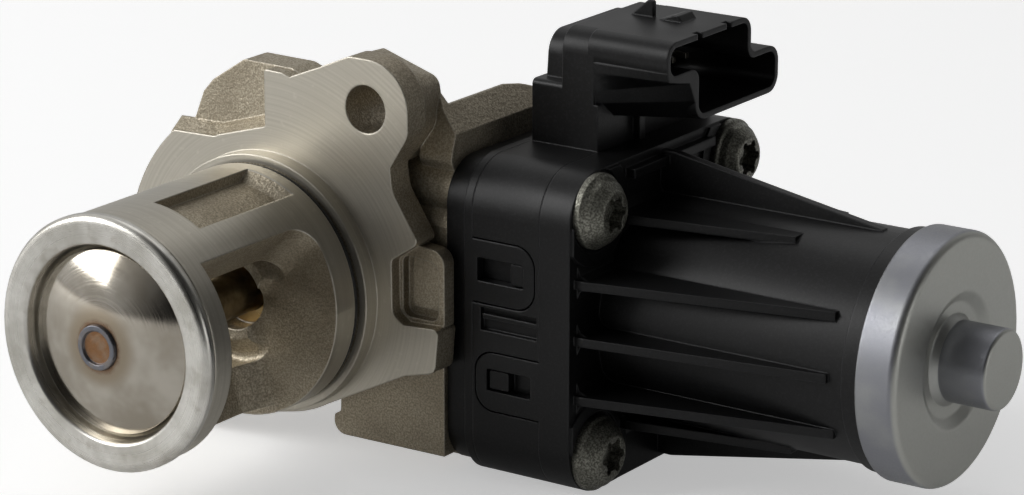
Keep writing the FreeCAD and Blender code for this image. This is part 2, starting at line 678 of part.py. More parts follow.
def spiral_point(turn, offset=0.0):
    """Point of the cam track for one shaft turn in degrees, moved square to the track.

    The track radius grows in proportion to the turn, so the stroke is in proportion to the
    shaft angle.  The shut position lies towards -Y; the track winds so that turning the
    shaft about +X brings its larger radii to the roller.
    """
    growth = val("lift") / math.radians(val("cam_travel"))
    radius = val("cam_start_radius") + growth * math.radians(turn)
    angle = math.pi - math.radians(turn)
    outward = V(math.cos(angle), math.sin(angle), 0)
    onward = V(math.sin(angle), -math.cos(angle), 0)
    square = (outward * radius - onward * growth).normalize()
    return outward * radius + square * offset


def spiral_band(inner, outer, first, last, low, high):
    """Solid between two offsets of the track, between two stations along X."""
    steps = 16
    turns = [first + (last - first) * i / steps for i in range(steps + 1)]
    inside = [spiral_point(turn, inner) for turn in turns]
    outside = [spiral_point(turn, outer) for turn in turns]
    curves = []
    for points in (inside, outside):
        curve = Part.BSplineCurve()
        curve.interpolate(points)
        curves.append(curve.toShape())
    ends = [Part.LineSegment(inside[0], outside[0]).toShape(),
            Part.LineSegment(inside[-1], outside[-1]).toShape()]
    face = Part.Face(Part.Wire([curves[0], ends[1], curves[1].reversed(), ends[0]]))
    face.Placement = frame_yz(low)
    band = face.extrude(AXIS_X * (high - low))
    band.translate(V(0, val("shaft_y"), 0))
    return band


def cam_disc():
    """Cam with a linear spiral track for the roller."""
    left = val("cam_left")
    right = left + val("cam_thickness")
    travel, shaft = val("cam_travel"), val("shaft_y")
    track_radius = val("roller_radius + running_clearance")
    rim_radius = track_radius + val("cam_wall")
    hub = rod_x(val("shaft_radius + cam_hub_wall"), left, right, shaft)
    plate = spiral_band(val("cam_inside - cam_start_radius"), rim_radius, 0, travel, left, right)
    ends = [spiral_point(0), spiral_point(travel)]
    rounds = [rod_x(rim_radius, left, right, shaft + end.x, end.y) for end in ends]
    track = spiral_band(-track_radius, track_radius, 0, travel, left - 1, left + val("cam_track_depth"))
    body = fuse([hub, plate] + rounds)
    body = body.cut(rod_x(val("shaft_radius"), left - 1, right + 1, shaft)).cut(track)
    for end in ends:
        body = body.cut(rod_x(track_radius, left - 1, left + val("cam_track_depth"), shaft + end.x, end.y))
    return feature("cam_disc", body.removeSplitter())


def output_shaft():
    """Shaft that carries the cam and the output gear."""
    return turned_body("output_shaft", "X", [
        ("drum_left + bush_set", "0"),
        ("drum_left + bush_set", "shaft_radius - journal_step"),
        ("drum_left + drum_wall", "shaft_radius - journal_step"),
        ("drum_left + drum_wall", "shaft_radius"),
        ("cover_left + gear_gap + output_gear_width", "shaft_radius"),
        ("cover_left + gear_gap + output_gear_width", "0"),
    ], ("0", "shaft_y", "0"))


def shaft_bush():
    """Bush in the closed end of the cam housing."""
    return turned_body("shaft_bush", "X", [
        ("drum_left + bush_set", "shaft_radius - journal_step + running_clearance"),
        ("drum_left + bush_set", "shaft_radius + bush_wall"),
        ("drum_left + drum_wall", "shaft_radius + bush_wall"),
        ("drum_left + drum_wall", "shaft_radius - journal_step + running_clearance"),
    ], ("0", "shaft_y", "0"))


def shaft_bearing():
    """Bearing of the output shaft in the gear carrier."""
    return turned_body("shaft_bearing", "X", [
        ("carrier_left + bearing_set", "shaft_radius + running_clearance"),
        ("carrier_left + bearing_set", "shaft_radius + bearing_wall"),
        ("cover_left - bearing_set", "shaft_radius + bearing_wall"),
        ("cover_left - bearing_set", "shaft_radius + running_clearance"),
    ], ("0", "shaft_y", "0"))


# ---------------------------------------------------------------- gears
PRESSURE_ANGLE = math.radians(25)
ADDENDUM = 0.95
DEDENDUM = 1.2


def involute(angle):
    """Involute function."""
    return math.tan(angle) - angle


def gear_face(module, teeth, phase):
    """Face of a spur gear in XY; one tooth points along the phase angle."""
    pitch = module * teeth / 2
    base = pitch * math.cos(PRESSURE_ANGLE)
    tip = pitch + ADDENDUM * module
    root = pitch - DEDENDUM * module
    half = math.pi / (2 * teeth) - val("backlash") / (2 * pitch)
    start = max(base, root)
    flank = []
    steps = 4
    for i in range(steps + 1):
        radius = start + (tip - start) * i / steps
        spread = half + involute(PRESSURE_ANGLE) - involute(math.acos(min(1.0, base / radius)))
        flank.append((radius, spread))
    edges = []
    step = 2 * math.pi / teeth
    for k in range(teeth):
        middle = phase + k * step
        rising = [polar(r, middle - s) for r, s in flank]
        falling = [polar(r, middle + s) for r, s in reversed(flank)]
        foot = polar(root, middle - flank[0][1])
        far_foot = polar(root, middle + flank[0][1])
        next_foot = polar(root, middle + step - flank[0][1])
        for points in (rising, falling):
            curve = Part.BSplineCurve()
            curve.interpolate(points)
            edges.append(curve.toShape())
        edges.insert(-1, Part.Arc(rising[-1], polar(tip, middle), falling[0]).toShape())
        if root < start - 1e-6:
            edges.insert(-3, Part.LineSegment(foot, rising[0]).toShape())
            edges.append(Part.LineSegment(falling[-1], far_foot).toShape())
        edges.append(Part.Arc(far_foot, polar(root, middle + step / 2), next_foot).toShape())
    return Part.Face(Part.Wire(Part.__sortEdges__(edges)))


def polar(radius, angle):
    """Point in XY at a radius and an angle in radians."""
    return V(radius * math.cos(angle), radius * math.sin(angle), 0)


def gear(module, teeth, phase, low, high, centre):
    """Spur gear about X, between two stations, round a (y, z) centre."""
    face = gear_face(module, int(teeth), phase)
    face.Placement = frame_yz(low)
    solid = face.extrude(AXIS_X * (high - low))
    solid.translate(V(0, centre[0], centre[1]))
    return solid


def gear_layout():
    """Axis of the intermediate gear and the direction to both of its partners."""
    shaft = (val("shaft_y"), 0.0)
    motor = (val("motor_y"), val("motor_z"))
    slow = val("slow_module * (pinion_teeth + output_teeth) / 2")
    fast = val("fast_module * (motor_teeth + wheel_teeth) / 2")
    dy, dz = motor[0] - shaft[0], motor[1] - shaft[1]
    apart = math.hypot(dy, dz)
    opening = math.acos((slow ** 2 + apart ** 2 - fast ** 2) / (2 * slow * apart))
    direction = math.atan2(dz, dy) + opening
    middle = (shaft[0] + slow * math.cos(direction), shaft[1] + slow * math.sin(direction))
    to_motor = math.atan2(motor[1] - middle[1], motor[0] - middle[0])
    return middle, direction, to_motor


def gear_stations():
    """Stations along X of the two gear planes."""
    low = val("cover_left + gear_gap")
    high = low + val("output_gear_width")
    wheel_low = high + val("magnet_thickness + gear_gap")
    return low, high, wheel_low, wheel_low + val("wheel_width")


def output_gear():
    """Moulded gear on the output shaft, with a thin web between its rim and its hub."""
    low, high, _, _ = gear_stations()
    _, direction, _ = gear_layout()
    centre = (val("shaft_y"), 0.0)
    body = gear(val("slow_module"), val("output_teeth"), direction, low, high, centre)
    body = body.cut(rod_x(val("shaft_radius"), low - 1, high + 1, *centre))
    rim = val("slow_module * output_teeth / 2 - rim_depth")
    hub = val("magnet_radius + magnet_rim")
    web = rod_x(rim, high - val("web_depth"), high + 1, *centre).cut(rod_x(hub, high - 2, high + 2, *centre))
    return feature("output_gear", body.cut(web))


def intermediate_gear():
    """Compound gear: a large wheel and a small pinion moulded in one."""
    low, high, wheel_low, wheel_high = gear_stations()
    middle, direction, to_motor = gear_layout()
    pinion_teeth = val("pinion_teeth")
    pinion_phase = direction + math.pi + math.pi / pinion_teeth
    pinion = gear(val("slow_module"), pinion_teeth, pinion_phase, low, wheel_low + 0.2, middle)
    wheel = gear(val("fast_module"), val("wheel_teeth"), to_motor, wheel_low, wheel_high, middle)
    bore = rod_x(val("axle_radius + running_clearance"), low - 1, wheel_high + 1, *middle)
    return feature("intermediate_gear", fuse([pinion, wheel]).cut(bore))


def motor_pinion():
    """Steel pinion on the motor shaft."""
    _, _, wheel_low, wheel_high = gear_stations()
    _, _, to_motor = gear_layout()
    teeth = val("motor_teeth")
    centre = (val("motor_y"), val("motor_z"))
    phase = to_motor + math.pi + math.pi / teeth
    shift = val("pinion_shift")
    body = gear(val("fast_module"), teeth, phase, wheel_low + shift, wheel_high + shift, centre)
    bore = rod_x(val("motor_shaft_radius"), wheel_low - 1, wheel_high + 2, *centre)
    return feature("motor_pinion", body.cut(bore))


def gear_axle():
    """Fixed steel axle of the intermediate gear."""
    middle, _, _ = gear_layout()
    low = val("carrier_left + axle_set")
    high = val("housing_left - axle_end")
    return feature("gear_axle", rod_x(val("axle_radius"), low, high, *middle))


def sensor_magnet():
    """Ring magnet on the output gear."""
    _, high, _, _ = gear_stations()
    ring = rod_x(val("magnet_radius"), high, high + val("magnet_thickness"), val("shaft_y"))
    hole = rod_x(val("shaft_radius"), high - 1, high + 3, val("shaft_y"))
    return feature("sensor_magnet", ring.cut(hole))


# ---------------------------------------------------------------- casting
def block_outline(inset=0.0, corner=None):
    """Common (y, z) outline of the block layers, moved inwards by an inset."""
    radius = val("block_corner") if corner is None else corner
    return rectangle(val("block_front") + inset, val("block_rear") - inset,
                     val("block_bottom") + inset, val("block_top") - inset,
                     max(radius - inset, 0.5))


def screw_places():
    """(y, z) of the four cover screws."""
    half = val("screw_spacing / 2")
    y, z = val("motor_y"), val("motor_z")
    return [(y - half, z + half), (y + half, z + half), (y - half, z - half), (y + half, z - half)]


def screw_tip():
    """Station along X where the cover screws end."""
    return val("flange_right - screw_length")


def flange_outline():
    """Machined face of the flange right of the nose, (x, z, radius), clockwise from the top left."""
    x, z, ear = val("ear_x"), val("ear_z"), val("ear_radius")
    return [
        (-0.5, 22.9, 0.4),
        (-0.5, z + 3.3, 0.4),
        (2.6, z + 3.2, 1.0),
        (5.8, z + 2.2, 1.6),
        (9.4, z + 5.0, 1.8),
        (14.6, z + ear, 3.0),
        (x + ear, z + ear, ear - 0.2),
        (x + ear, z - 3.0, 3.4),
        (x + 4.1, 20.6, 2.6),
        (x + 4.5, 16.8, 5.0),
        (26.6, 9.8, 1.0),
        (21.8, 6.6, 1.2),
        (21.9, -1.4, 1.8),
        (23.8, -2.7, 0.8),
        (29.9, -2.4, 0.8),
        (29.3, -9.0, 1.6),
        (24.0, -10.3, 3.0),
        (7.4, -18.6, 0.0),
        (-12.0, 0.0, 0.0),
        (-9.8, 20.2, 1.0),
    ]


def ear_wire(back):
    """Outline of the upper ear at the machined face, or at its smaller cast back."""
    x, z, ear = val("ear_x"), val("ear_z"), val("ear_radius")
    if back:
        corners = [(4.0, 20.0, 0), (4.0, z + 2.6, 0.6), (8.4, z + 4.2, 1.6), (13.0, z + 6.2, 1.0),
                   (x + 5.2, z + 3.2, 2.0), (x + 6.2, z - 3.0, 3.0), (x + 3.0, 20.0, 0)]
    else:
        corners = [(4.0, 20.0, 0), (4.0, z + 2.8, 0.6), (9.4, z + 5.0, 1.6), (14.6, z + ear, 3.0),
                   (x + ear, z + ear, ear - 0.4), (x + ear, z - 3.0, 3.0), (x + 4.1, 20.0, 0)]
    wire = rounded(corners)
    wire.Placement = frame_xz(val("ear_thickness") if back else 0.0)
    return wire


def hull_of_discs(first, second):
    """Outline round two discs given as (x, y, radius), as a wire of two arcs and two lines."""
    x1, y1, r1 = first
    x2, y2, r2 = second
    direction = math.atan2(y2 - y1, x2 - x1)
    spread = math.acos((r1 - r2) / math.hypot(x2 - x1, y2 - y1))

    def rim(x, y, radius, angle):
        return V(x + radius * math.cos(angle), y + radius * math.sin(angle), 0)
    a1 = rim(x1, y1, r1, direction + spread)
    a2 = rim(x2, y2, r2, direction + spread)
    b1 = rim(x1, y1, r1, direction - spread)
    b2 = rim(x2, y2, r2, direction - spread)
    return Part.Wire([
        Part.LineSegment(a1, a2).toShape(),
        Part.Arc(a2, rim(x2, y2, r2, direction), b2).toShape(),
        Part.LineSegment(b2, b1).toShape(),
        Part.Arc(b1, rim(x1, y1, r1, direction + math.pi), a1).toShape()])


def flange_plate():
    """Flange with its two ears and the cast lug on its upper left."""
    thin, thick = val("flange_thickness"), val("ear_thickness")
    radius, low = val("flange_radius"), val("flange_low_radius")
    face = slab_xz(flange_outline(), 0, thin)
    upper = Part.makeLoft([ear_wire(False), ear_wire(True)], True, True)
    low_disc = rod_y(low, 0, thick)
    left = rod_y(radius, 0, thin + 2)
    below_lug = slab_xz([(2, 0, 0), (2, 22.9, 0), (-0.5, 22.9, 0), (-10.0, 20.0, 1.0), (-18.2, 19.8, 0.6),
                         (-19.4, 18.4, 0), (-60, 18.4, 0), (-60, 0, 0), (-40, -24, 0)], -1, thick)
    low_ear = Part.Face(hull_of_discs((0, 0, low), (val("low_ear_x"), val("low_ear_z"), val("ear_radius"))))
    low_ear.Placement = frame_xz(thick)
    low_ear = low_ear.extrude(V(0, -thick, 0))
    step, depth = val("lug_step"), val("lug_depth")
    lug = slab_xz([(-17.6, 18.6, 1.0), (-15.2, 21.8, 2.0), (-13.6, 25.8, 1.6), (-11.8, 27.8, 1.6),
                   (-6.0, 31.6, 1.0), (2.6, 31.5, 1.6), (8.0, 29.6, 2.0), (12.0, 16.0, 0), (-6.0, 6.0, 0)],
                  step, step + depth)
    ramp = []
    for station, rise in ((0.0, 0.0), (step + 0.2, val("lug_ramp"))):
        wire = Part.makePolygon([V(2.0, 10.0, 0), V(2.0, 22.7 + rise, 0), V(-0.5, 22.7 + rise, 0),
                                 V(-10.0, 19.8 + rise, 0), V(-18.0, 19.5 + rise, 0), V(-18.0, 10.0, 0),
                                 V(2.0, 10.0, 0)])
        wire.Placement = frame_xz(station)
        ramp.append(wire)
    ramp = Part.makeLoft(ramp, True, True)
    crest = [edge for edge in lug.Edges if abs(edge.Vertexes[0].Point.y - step - depth) < 0.01
             and abs(edge.Vertexes[-1].Point.y - step - depth) < 0.01
             and edge.BoundBox.Center.z > 24]
    lug = lug.makeFillet(1.4, crest)
    return fuse([face, upper, low_disc, left.common(below_lug), low_ear, lug, ramp])


def cast_body():
    """Cam housing, square rim and lower box behind the flange."""
    y = val("shaft_y")
    rim_left, right = val("rim_left"), val("carrier_left")
    radius, thin = val("drum_radius"), val("flange_thickness")
    drum = rod_x(radius, val("drum_left"), rim_left + 1, y)
    drum = drum.common(box((-60, 1.0, -60), (60, 60, 60)))
    rim = slab_yz(block_outline(1.0), rim_left, right)
    ridge = slab_yz([(12.0, 12.0, 1.0), (6.6, 20.4, 1.5), (8.6, 27.0, 2.0), (11.0, 29.8, 2.0),
                     (17.7, 29.0, 3.0), (28.7, 26.9, 3.0), (36.4, 24.3, 3.0), (40.0, 20.0, 1.0),
                     (34.0, 10.0, 1.0)], rim_left - 1.4, right)
    slope = slab_xz([(19.0, 34.0, 0), (30.0, 34.0, 0), (30.0, 23.4, 0), (right, 24.2, 0),
                     (22.6, 29.6, 0)], 0, 60)
    lower = slab_xz([(7.6, -23.4, 2.0), (28.4, -23.2, 0), (28.4, -7.0, 0), (9.4, -9.0, 0),
                     (9.0, -20.0, 0.8), (7.9, -20.4, 0.6)], 4.7, 16.0)
    lower = lower.common(box((0, 0, -40), (right, 60, 40)))
    boss_end = screw_tip() - val("post_floor")
    bosses = [rod_x(val("post_radius"), boss_end, right, sy, sz) for sy, sz in screw_places()]
    bosses = [boss.cut(box((-60, -60, -60), (60, 0.5, 60))) for boss in bosses]
    # recess between the flange and the block: the round drum and a screw boss show in it
    recess = box((20.5, thin, 9.0), (right + 1, y, val("block_top") - 1.2))
    recess = recess.cut(rod_x(radius, 0, 60, y)).cut(bosses[0])
    frame = slab_xz([(20.6, -3.4, 1.2), (29.6, -3.2, 1.2), (29.6, 8.4, 2.2), (20.6, 9.4, 1.2)], 2.0, thin)
    groove = slab_xz([(22.4, -2.0, 1.4), (28.6, -2.0, 1.4), (28.6, 6.6, 1.6), (22.4, 7.2, 1.2)],
                     -1.0, val("pad_groove"))
    pad = slab_xz([(23.9, -0.4, 1.0), (28.8, -0.4, 0.6), (28.8, 7.4, 0.6), (23.9, 7.4, 0.6)],
                  val("pad_depth"), thin)
    body = fuse([drum, rim.cut(recess), ridge.cut(slope), lower, frame] + bosses)
    return body.cut(groove.cut(pad))


def corner_filler(angle, turn, radius):
    """Metal left in a rear corner of a window, along the radial line at an angle.

    turn is +1 or -1, the sense in which the angle grows into the window.
    """
    outward = V(math.cos(angle), 0, math.sin(angle))
    inward = V(-math.sin(angle), 0, math.cos(angle)) * turn
    forward = V(0, -1, 0)
    corner = V(0, val("-window_rear"), 0) + outward * 2.0
    nearest = radius * (1 - math.sqrt(0.5))
    start, end = corner + inward * radius, corner + forward * radius
    wire = Part.Wire([Part.LineSegment(corner, start).toShape(),
                      Part.Arc(start, corner + (inward + forward) * nearest, end).toShape(),
                      Part.LineSegment(end, corner).toShape()])
    return Part.Face(wire).extrude(outward * 60.0)


def gas_windows():
    """Cutters for the two windows in the wall of the nose, with rounded rear corners."""
    front, rear = val("-window_front"), val("-window_rear")
    inner, reach = val("waist_radius") * 0.85, val("nose_radius") * 3
    cutters = []
    for top, low in (("window_top_angle", "window_low_angle"),
                     ("left_window_top_angle", "left_window_low_angle")):
        a, b = math.radians(val(top)), math.radians(val(low))
        turn = 1 if b > a else -1
        tip = polar(reach * 1.8, (a + b) / 2)
        wedge = Part.Face(Part.makePolygon([polar(inner, a), polar(reach, a), tip, polar(reach, b),
                                            polar(inner, b), polar(inner, a)]))
        wedge.Placement = frame_xz(rear)
        wedge = wedge.extrude(V(0, front - rear, 0))
        for angle, sense in ((a, turn), (b, -turn)):
            wedge = wedge.cut(corner_filler(angle, sense, val("window_corner")))
        cutters.append(wedge)
    return cutters


def valve_housing():
    """Aluminium casting: nose cage, flange, cam housing and the seat of the block."""
    nose, shoulder = val("nose_radius"), val("shoulder_radius")
    groove_front = val("shoulder_length + groove_width")
    floor = val("nose_radius - groove_depth")
    land = turned([(-val("nose_length"), 0), (-val("nose_length"), nose - 0.5),
                   (-val("nose_length") + 0.5, nose), (-groove_front, nose), (-groove_front, floor),
                   (-val("shoulder_length"), floor), (-val("shoulder_length"), shoulder),
                   (0.5, shoulder), (0.5, 0)], "Y")
    body = fuse([land, flange_plate(), cast_body()])
    # gas side: chamber, smooth rear wall with its boss, and the bore of the seat ring
    chamber, rear = val("chamber_radius"), val("-window_rear")
    boss, boss_front = val("boss_radius"), val("-boss_front")
    waist, neck = val("waist_radius"), -val("waist_front")
    gas = turned([(-val("nose_length") - 1, 0), (-val("nose_length") - 1, chamber),
                  (neck - chamber + waist, chamber, val("wall_round")), (neck, waist, val("wall_round")),
                  (rear, waist, 0.8), (rear, boss + 0.8, 0.8), (boss_front, boss - 1.2, 0.8),
                  (boss_front, 0)], "Y")
    seat = rod_y(val("ring_sleeve_radius"), -val("nose_length") - 1, -val("ring_sleeve_rear"))
    mouth = rod_y(val("mouth_radius"), -val("boss_front") - 1, -val("guide_front"))
    bush = rod_y(val("guide_radius"), -val("guide_front") - 0.1, val("guide_rear") + 1)
    spring = rod_y(val("spring_bore_radius"), -val("spring_seat"), 12)
    spring = spring.cut(rod_y(val("guide_boss_radius"), -val("spring_seat") - 1, val("guide_rear")))
    window_ring = rod_y(nose + 1, -val("window_front"), rear).cut(rod_y(2, -40, 0))
    windows = [window_ring.common(cutter) for cutter in gas_windows()]
    body = body.cut(gas).cut(seat).cut(mouth).cut(bush).cut(spring)
    for window in windows:
        body = body.cut(window)
    face = nose - val("strut_recess")
    strut = box((-nose * 2, -val("window_front"), -nose * 2), (nose * 2, rear, -nose * 0.55))
    body = body.cut(strut.cut(rod_y(face, -val("window_front") - 1, 0)))
    # shallow pocket on the top strut
    a, b = math.radians(val("pocket_low_angle")), math.radians(val("pocket_top_angle"))
    pocket = Part.Face(Part.makePolygon([V(0, 0, 0), polar(40, a), polar(40, b), V(0, 0, 0)]))
    pocket.Placement = frame_xz(-val("pocket_rear"))
    pocket = pocket.extrude(V(0, val("pocket_rear - pocket_front"), 0))
    depth, slope = val("pocket_depth"), val("pocket_slope")
    floor_end = -val("pocket_rear") - slope
    floor = turned([(-60, 0), (-60, nose - depth), (floor_end, nose - depth, slope / 2),
                    (-val("pocket_rear"), nose, 0), (10, nose), (10, 0)], "Y")
    body = body.cut(pocket.cut(floor))
    # drive side: cam room, shaft bush, open right end
    y = val("shaft_y")
    room = rod_x(val("cam_room_radius"), val("drum_left + drum_wall"), val("carrier_left") + 1, y)
    for sy, sz in screw_places():
        room = room.cut(rod_x(val("room_post_radius"), screw_tip() - val("post_floor"), 60, sy, sz))
    room = room.common(box((-60, val("flange_thickness") - 0.2, -60), (60, 80, 60)))
    wide, tall = val("carrier_half_width + carrier_room"), val("carrier_half_height + carrier_room")
    room = room.fuse(box((-wide, 2.0, -tall), (val("cam_left"), y, tall)))
    body = body.cut(room)
    body = body.cut(rod_x(val("shaft_radius + bush_wall"), val("drum_left + bush_set"),
                          val("drum_left") + 10, y))
    for sy, sz in screw_places():
        body = body.cut(rod_x(val("screw_radius"), screw_tip() - val("tip_room"), 60, sy, sz))
    for x, z in ((val("ear_x"), val("ear_z")), (val("low_ear_x"), val("low_ear_z"))):
        body = body.cut(rod_y(val("ear_hole_radius"), -1, 40, x, z))
        body = body.cut(rod_y(val("ear_spot_radius"), val("ear_thickness"), 40, x, z))
    return feature("valve_housing", body.removeSplitter())


# ---------------------------------------------------------------- block layers
def slot_box(name, start):
    """Left, right, low and high edges of the slot in a latch tongue; start is the tongue's low edge."""
    left = val("cover_left + %s_slot_set" % name)
    low = start + val("%s_slot_rise" % name)
    return left, left + val("%s_slot_length" % name), low, low + val("%s_slot_height" % name)


def tongue(left, right, low, high, slot, round_left):
    """Latch tongue in the front face: a plate with one round end and a slot for the catch."""
    front, depth = val("block_front"), val("latch_depth")
    end = min(3.0, (high - low) / 2 - 0.1)
    if round_left:
        corners = [(left, low, end), (right, low, 0), (right, high, 0), (left, high, end)]
    else:
        corners = [(left, low, 0), (right, low, end), (right, high, end), (left, high, 0)]
    plate = slab_xz(corners, front, front + depth)
    return plate.cut(slab_xz(rectangle(*slot, val("slot_round")), front - 1, front + depth + 1))


def catch(name, start):
    """Catch of the connector cover that stands in the slot of a tongue."""
    front, play = val("block_front"), val("%s_catch_play" % name)
    _, _, low, high = slot_box(name, start)
    left = val("cover_left + %s_catch_set" % name)
    right = left + val("%s_catch_length" % name)
    corners = rectangle(left, right, low + play, high - play, val("catch_round"))
    return slab_xz(corners, front + val("catch_sink"), front + val("catch_sink + catch_depth"))


def mirrored(shape):
    """The same shape on the rear face of the block."""
    middle = val("(block_front + block_rear) / 2")
    return shape.mirror(V(0, middle, 0), AXIS_Y)


def carrier_tongues(grow=0.0):
    """Tongues of the gear carrier that reach over the connector cover, front and rear."""
    left, right = val("cover_left - latch_root"), val("housing_left - upper_end")
    low, high = val("upper_low"), val("upper_low + upper_height")
    if grow:
        front, end = val("block_front"), val("latch_round")
        plate = slab_xz([(left, low - grow, 0), (right + grow, low - grow, end),
                         (right + grow, high + grow, end), (left, high + grow, 0)],
                        front - 1, front + val("latch_depth") + grow)
    else:
        plate = tongue(left, right, low, high, slot_box("upper", low), False)
    return [plate, mirrored(plate)]


def housing_tongues(grow=0.0):
    """Tongues of the motor housing that reach over the connector cover, front and rear."""
    left, right = val("cover_left + lower_start"), val("housing_left + latch_root")
    low, high = val("lower_low"), val("lower_low + lower_height")
    if grow:
        front, end = val("block_front"), val("latch_round")
        plate = slab_xz([(left - grow, low - grow, end), (right, low - grow, 0), (right, high + grow, 0),
                         (left - grow, high + grow, end)],
                        front - 1, front + val("latch_depth") + grow)
    else:
        plate = tongue(left, right, low, high, slot_box("lower", low), True)
    return [plate, mirrored(plate)]


def gear_carrier():
    """Moulded plate that closes the casting and carries the shaft bearing and gear axle."""
    left, right = val("carrier_left"), val("cover_left")
    middle, _, _ = gear_layout()
    step = right - val("carrier_step")
    body = fuse([slab_yz(block_outline(val("carrier_inset")), left, step),
                 slab_yz(block_outline(), step, right)] + carrier_tongues())
    y = val("shaft_y")
    body = body.cut(rod_x(val("shaft_radius + part_gap"), left - 1, right + 1, y))
    body = body.cut(rod_x(val("shaft_radius + bearing_wall"), left + val("bearing_set"),
                          right - val("bearing_set"), y))
    body = body.cut(rod_x(val("axle_radius"), left + val("axle_set"), right + 1, *middle))
    for sy, sz in screw_places():
        body = body.cut(rod_x(val("screw_radius + screw_play"), left - 1, right + 1, sy, sz))
    return feature("gear_carrier", body.removeSplitter())


def shroud_outline(inset):
    """Stepped (y, z) outline of the connector shroud, moved inwards by an inset."""
    upper, lower = val("tower_top - shroud_split"), val("shroud_split - shroud_bottom")
    corner = val("shroud_corner")
    high = max(min(corner, upper * 0.42) - inset, 0.3)
    low = max(min(corner, lower * 0.42) - inset, 0.3)
    inner = min(corner * 0.6, upper * 0.3, lower * 0.3) + inset * 0.4
    return [
        (val("shroud_upper_front") + inset, val("tower_top") - inset, high),
        (val("shroud_upper_front") + inset, val("shroud_split") + inset, high),
        (val("shroud_lower_front") + inset, val("shroud_split") + inset, inner),
        (val("shroud_lower_front") + inset, val("shroud_bottom") + inset, low),
        (val("shroud_lower_rear") - inset, val("shroud_bottom") + inset, low),
        (val("shroud_lower_rear") - inset, val("shroud_split") - inset, low),
        (val("shroud_upper_rear") - inset, val("shroud_split") - inset, inner),
        (val("shroud_upper_rear") - inset, val("tower_top") - inset, high),
    ]


def shroud_cheek(start):
    """Smooth cheek under the upper key section, from the tower's front to the stepped mouth."""
    front, lower = val("shroud_upper_front"), val("shroud_lower_front")
    split, bottom, end = val("shroud_split"), val("shroud_bottom"), val("shroud_right")
    inside, height = lower + 3.0, split - bottom
    at_tower = [(front, split + 1.5), (front, split), (front, split - height * 0.18),
                (front, split - height * 0.4), (front + 0.3, bottom + height * 0.34), (lower - 4.0, bottom),
                (inside, bottom), (inside, split + 1.5)]
    at_mouth = [(front + 0.1, split + 1.5), (front + 0.5, split + 0.2), (front + 3.1, split - height * 0.06),
                (lower - 1.7, split - height * 0.14), (lower - 0.2, bottom + height * 0.44),
                (lower + 2.3, bottom), (inside, bottom), (inside, split + 1.5)]
    wires = []
    for station, outline in ((start, at_tower), (end, at_mouth)):
        wire = Part.makePolygon([V(y, z, 0) for y, z in outline + outline[:1]])
        wire.Placement = frame_yz(station)
        wires.append(wire)
    return Part.makeLoft(wires, True, True)


def pin_shapes():
    """Bent contact pins, from the sensor board up into the connector."""
    half = val("pin_width / 2")
    count = int(val("pin_count"))
    pitch = val("pin_pitch")
    middle = val("(shroud_lower_front + shroud_lower_rear) / 2")
    pin_x = val("(tower_left + tower_step) / 2")
    pin_z = val("(shroud_bottom + shroud_split) / 2 + pin_lift")
    tip = val("shroud_right - pin_recess")
    foot = val("block_top - block_wall + pin_foot")
    pins = []
    for i in range(count):
        y = middle + (i - (count - 1) / 2) * pitch
        upright = box((pin_x - half, y - half, foot), (pin_x + half, y + half, pin_z + half))
        reach = box((pin_x - half, y - half, pin_z - half), (tip, y + half, pin_z + half))
        pins.append(upright.fuse(reach).removeSplitter())
    return pins


def contact_pins():
    """The contact pins, as one group of separate solids."""
    return feature("contact_pins", Part.makeCompound(pin_shapes()))


def sensor_board():
    """Circuit board of the position sensor, with its sensing chip towards the ring magnet."""
    wall, thick = val("housing_left - partition"), val("board_thickness")
    front = val("block_front + block_wall + board_gap")
    rear, low, high = front + val("board_width"), val("board_low"), val("board_high")
    plate = slab_yz([(front, low, 1.5), (rear, low, 1.5), (rear, high, 1.0),
                     (rear - val("board_crest"), high, 1.0), (front, high - val("board_slant"), 1.5)],
                    wall - thick, wall)
    chip_front, half = val("shaft_y - chip_reach"), val("chip_length / 2")
    chip = box((wall - thick - val("chip_height"), chip_front, -half),
               (wall - thick, chip_front + val("chip_width"), half))
    return feature("sensor_board", plate.fuse(chip).removeSplitter())


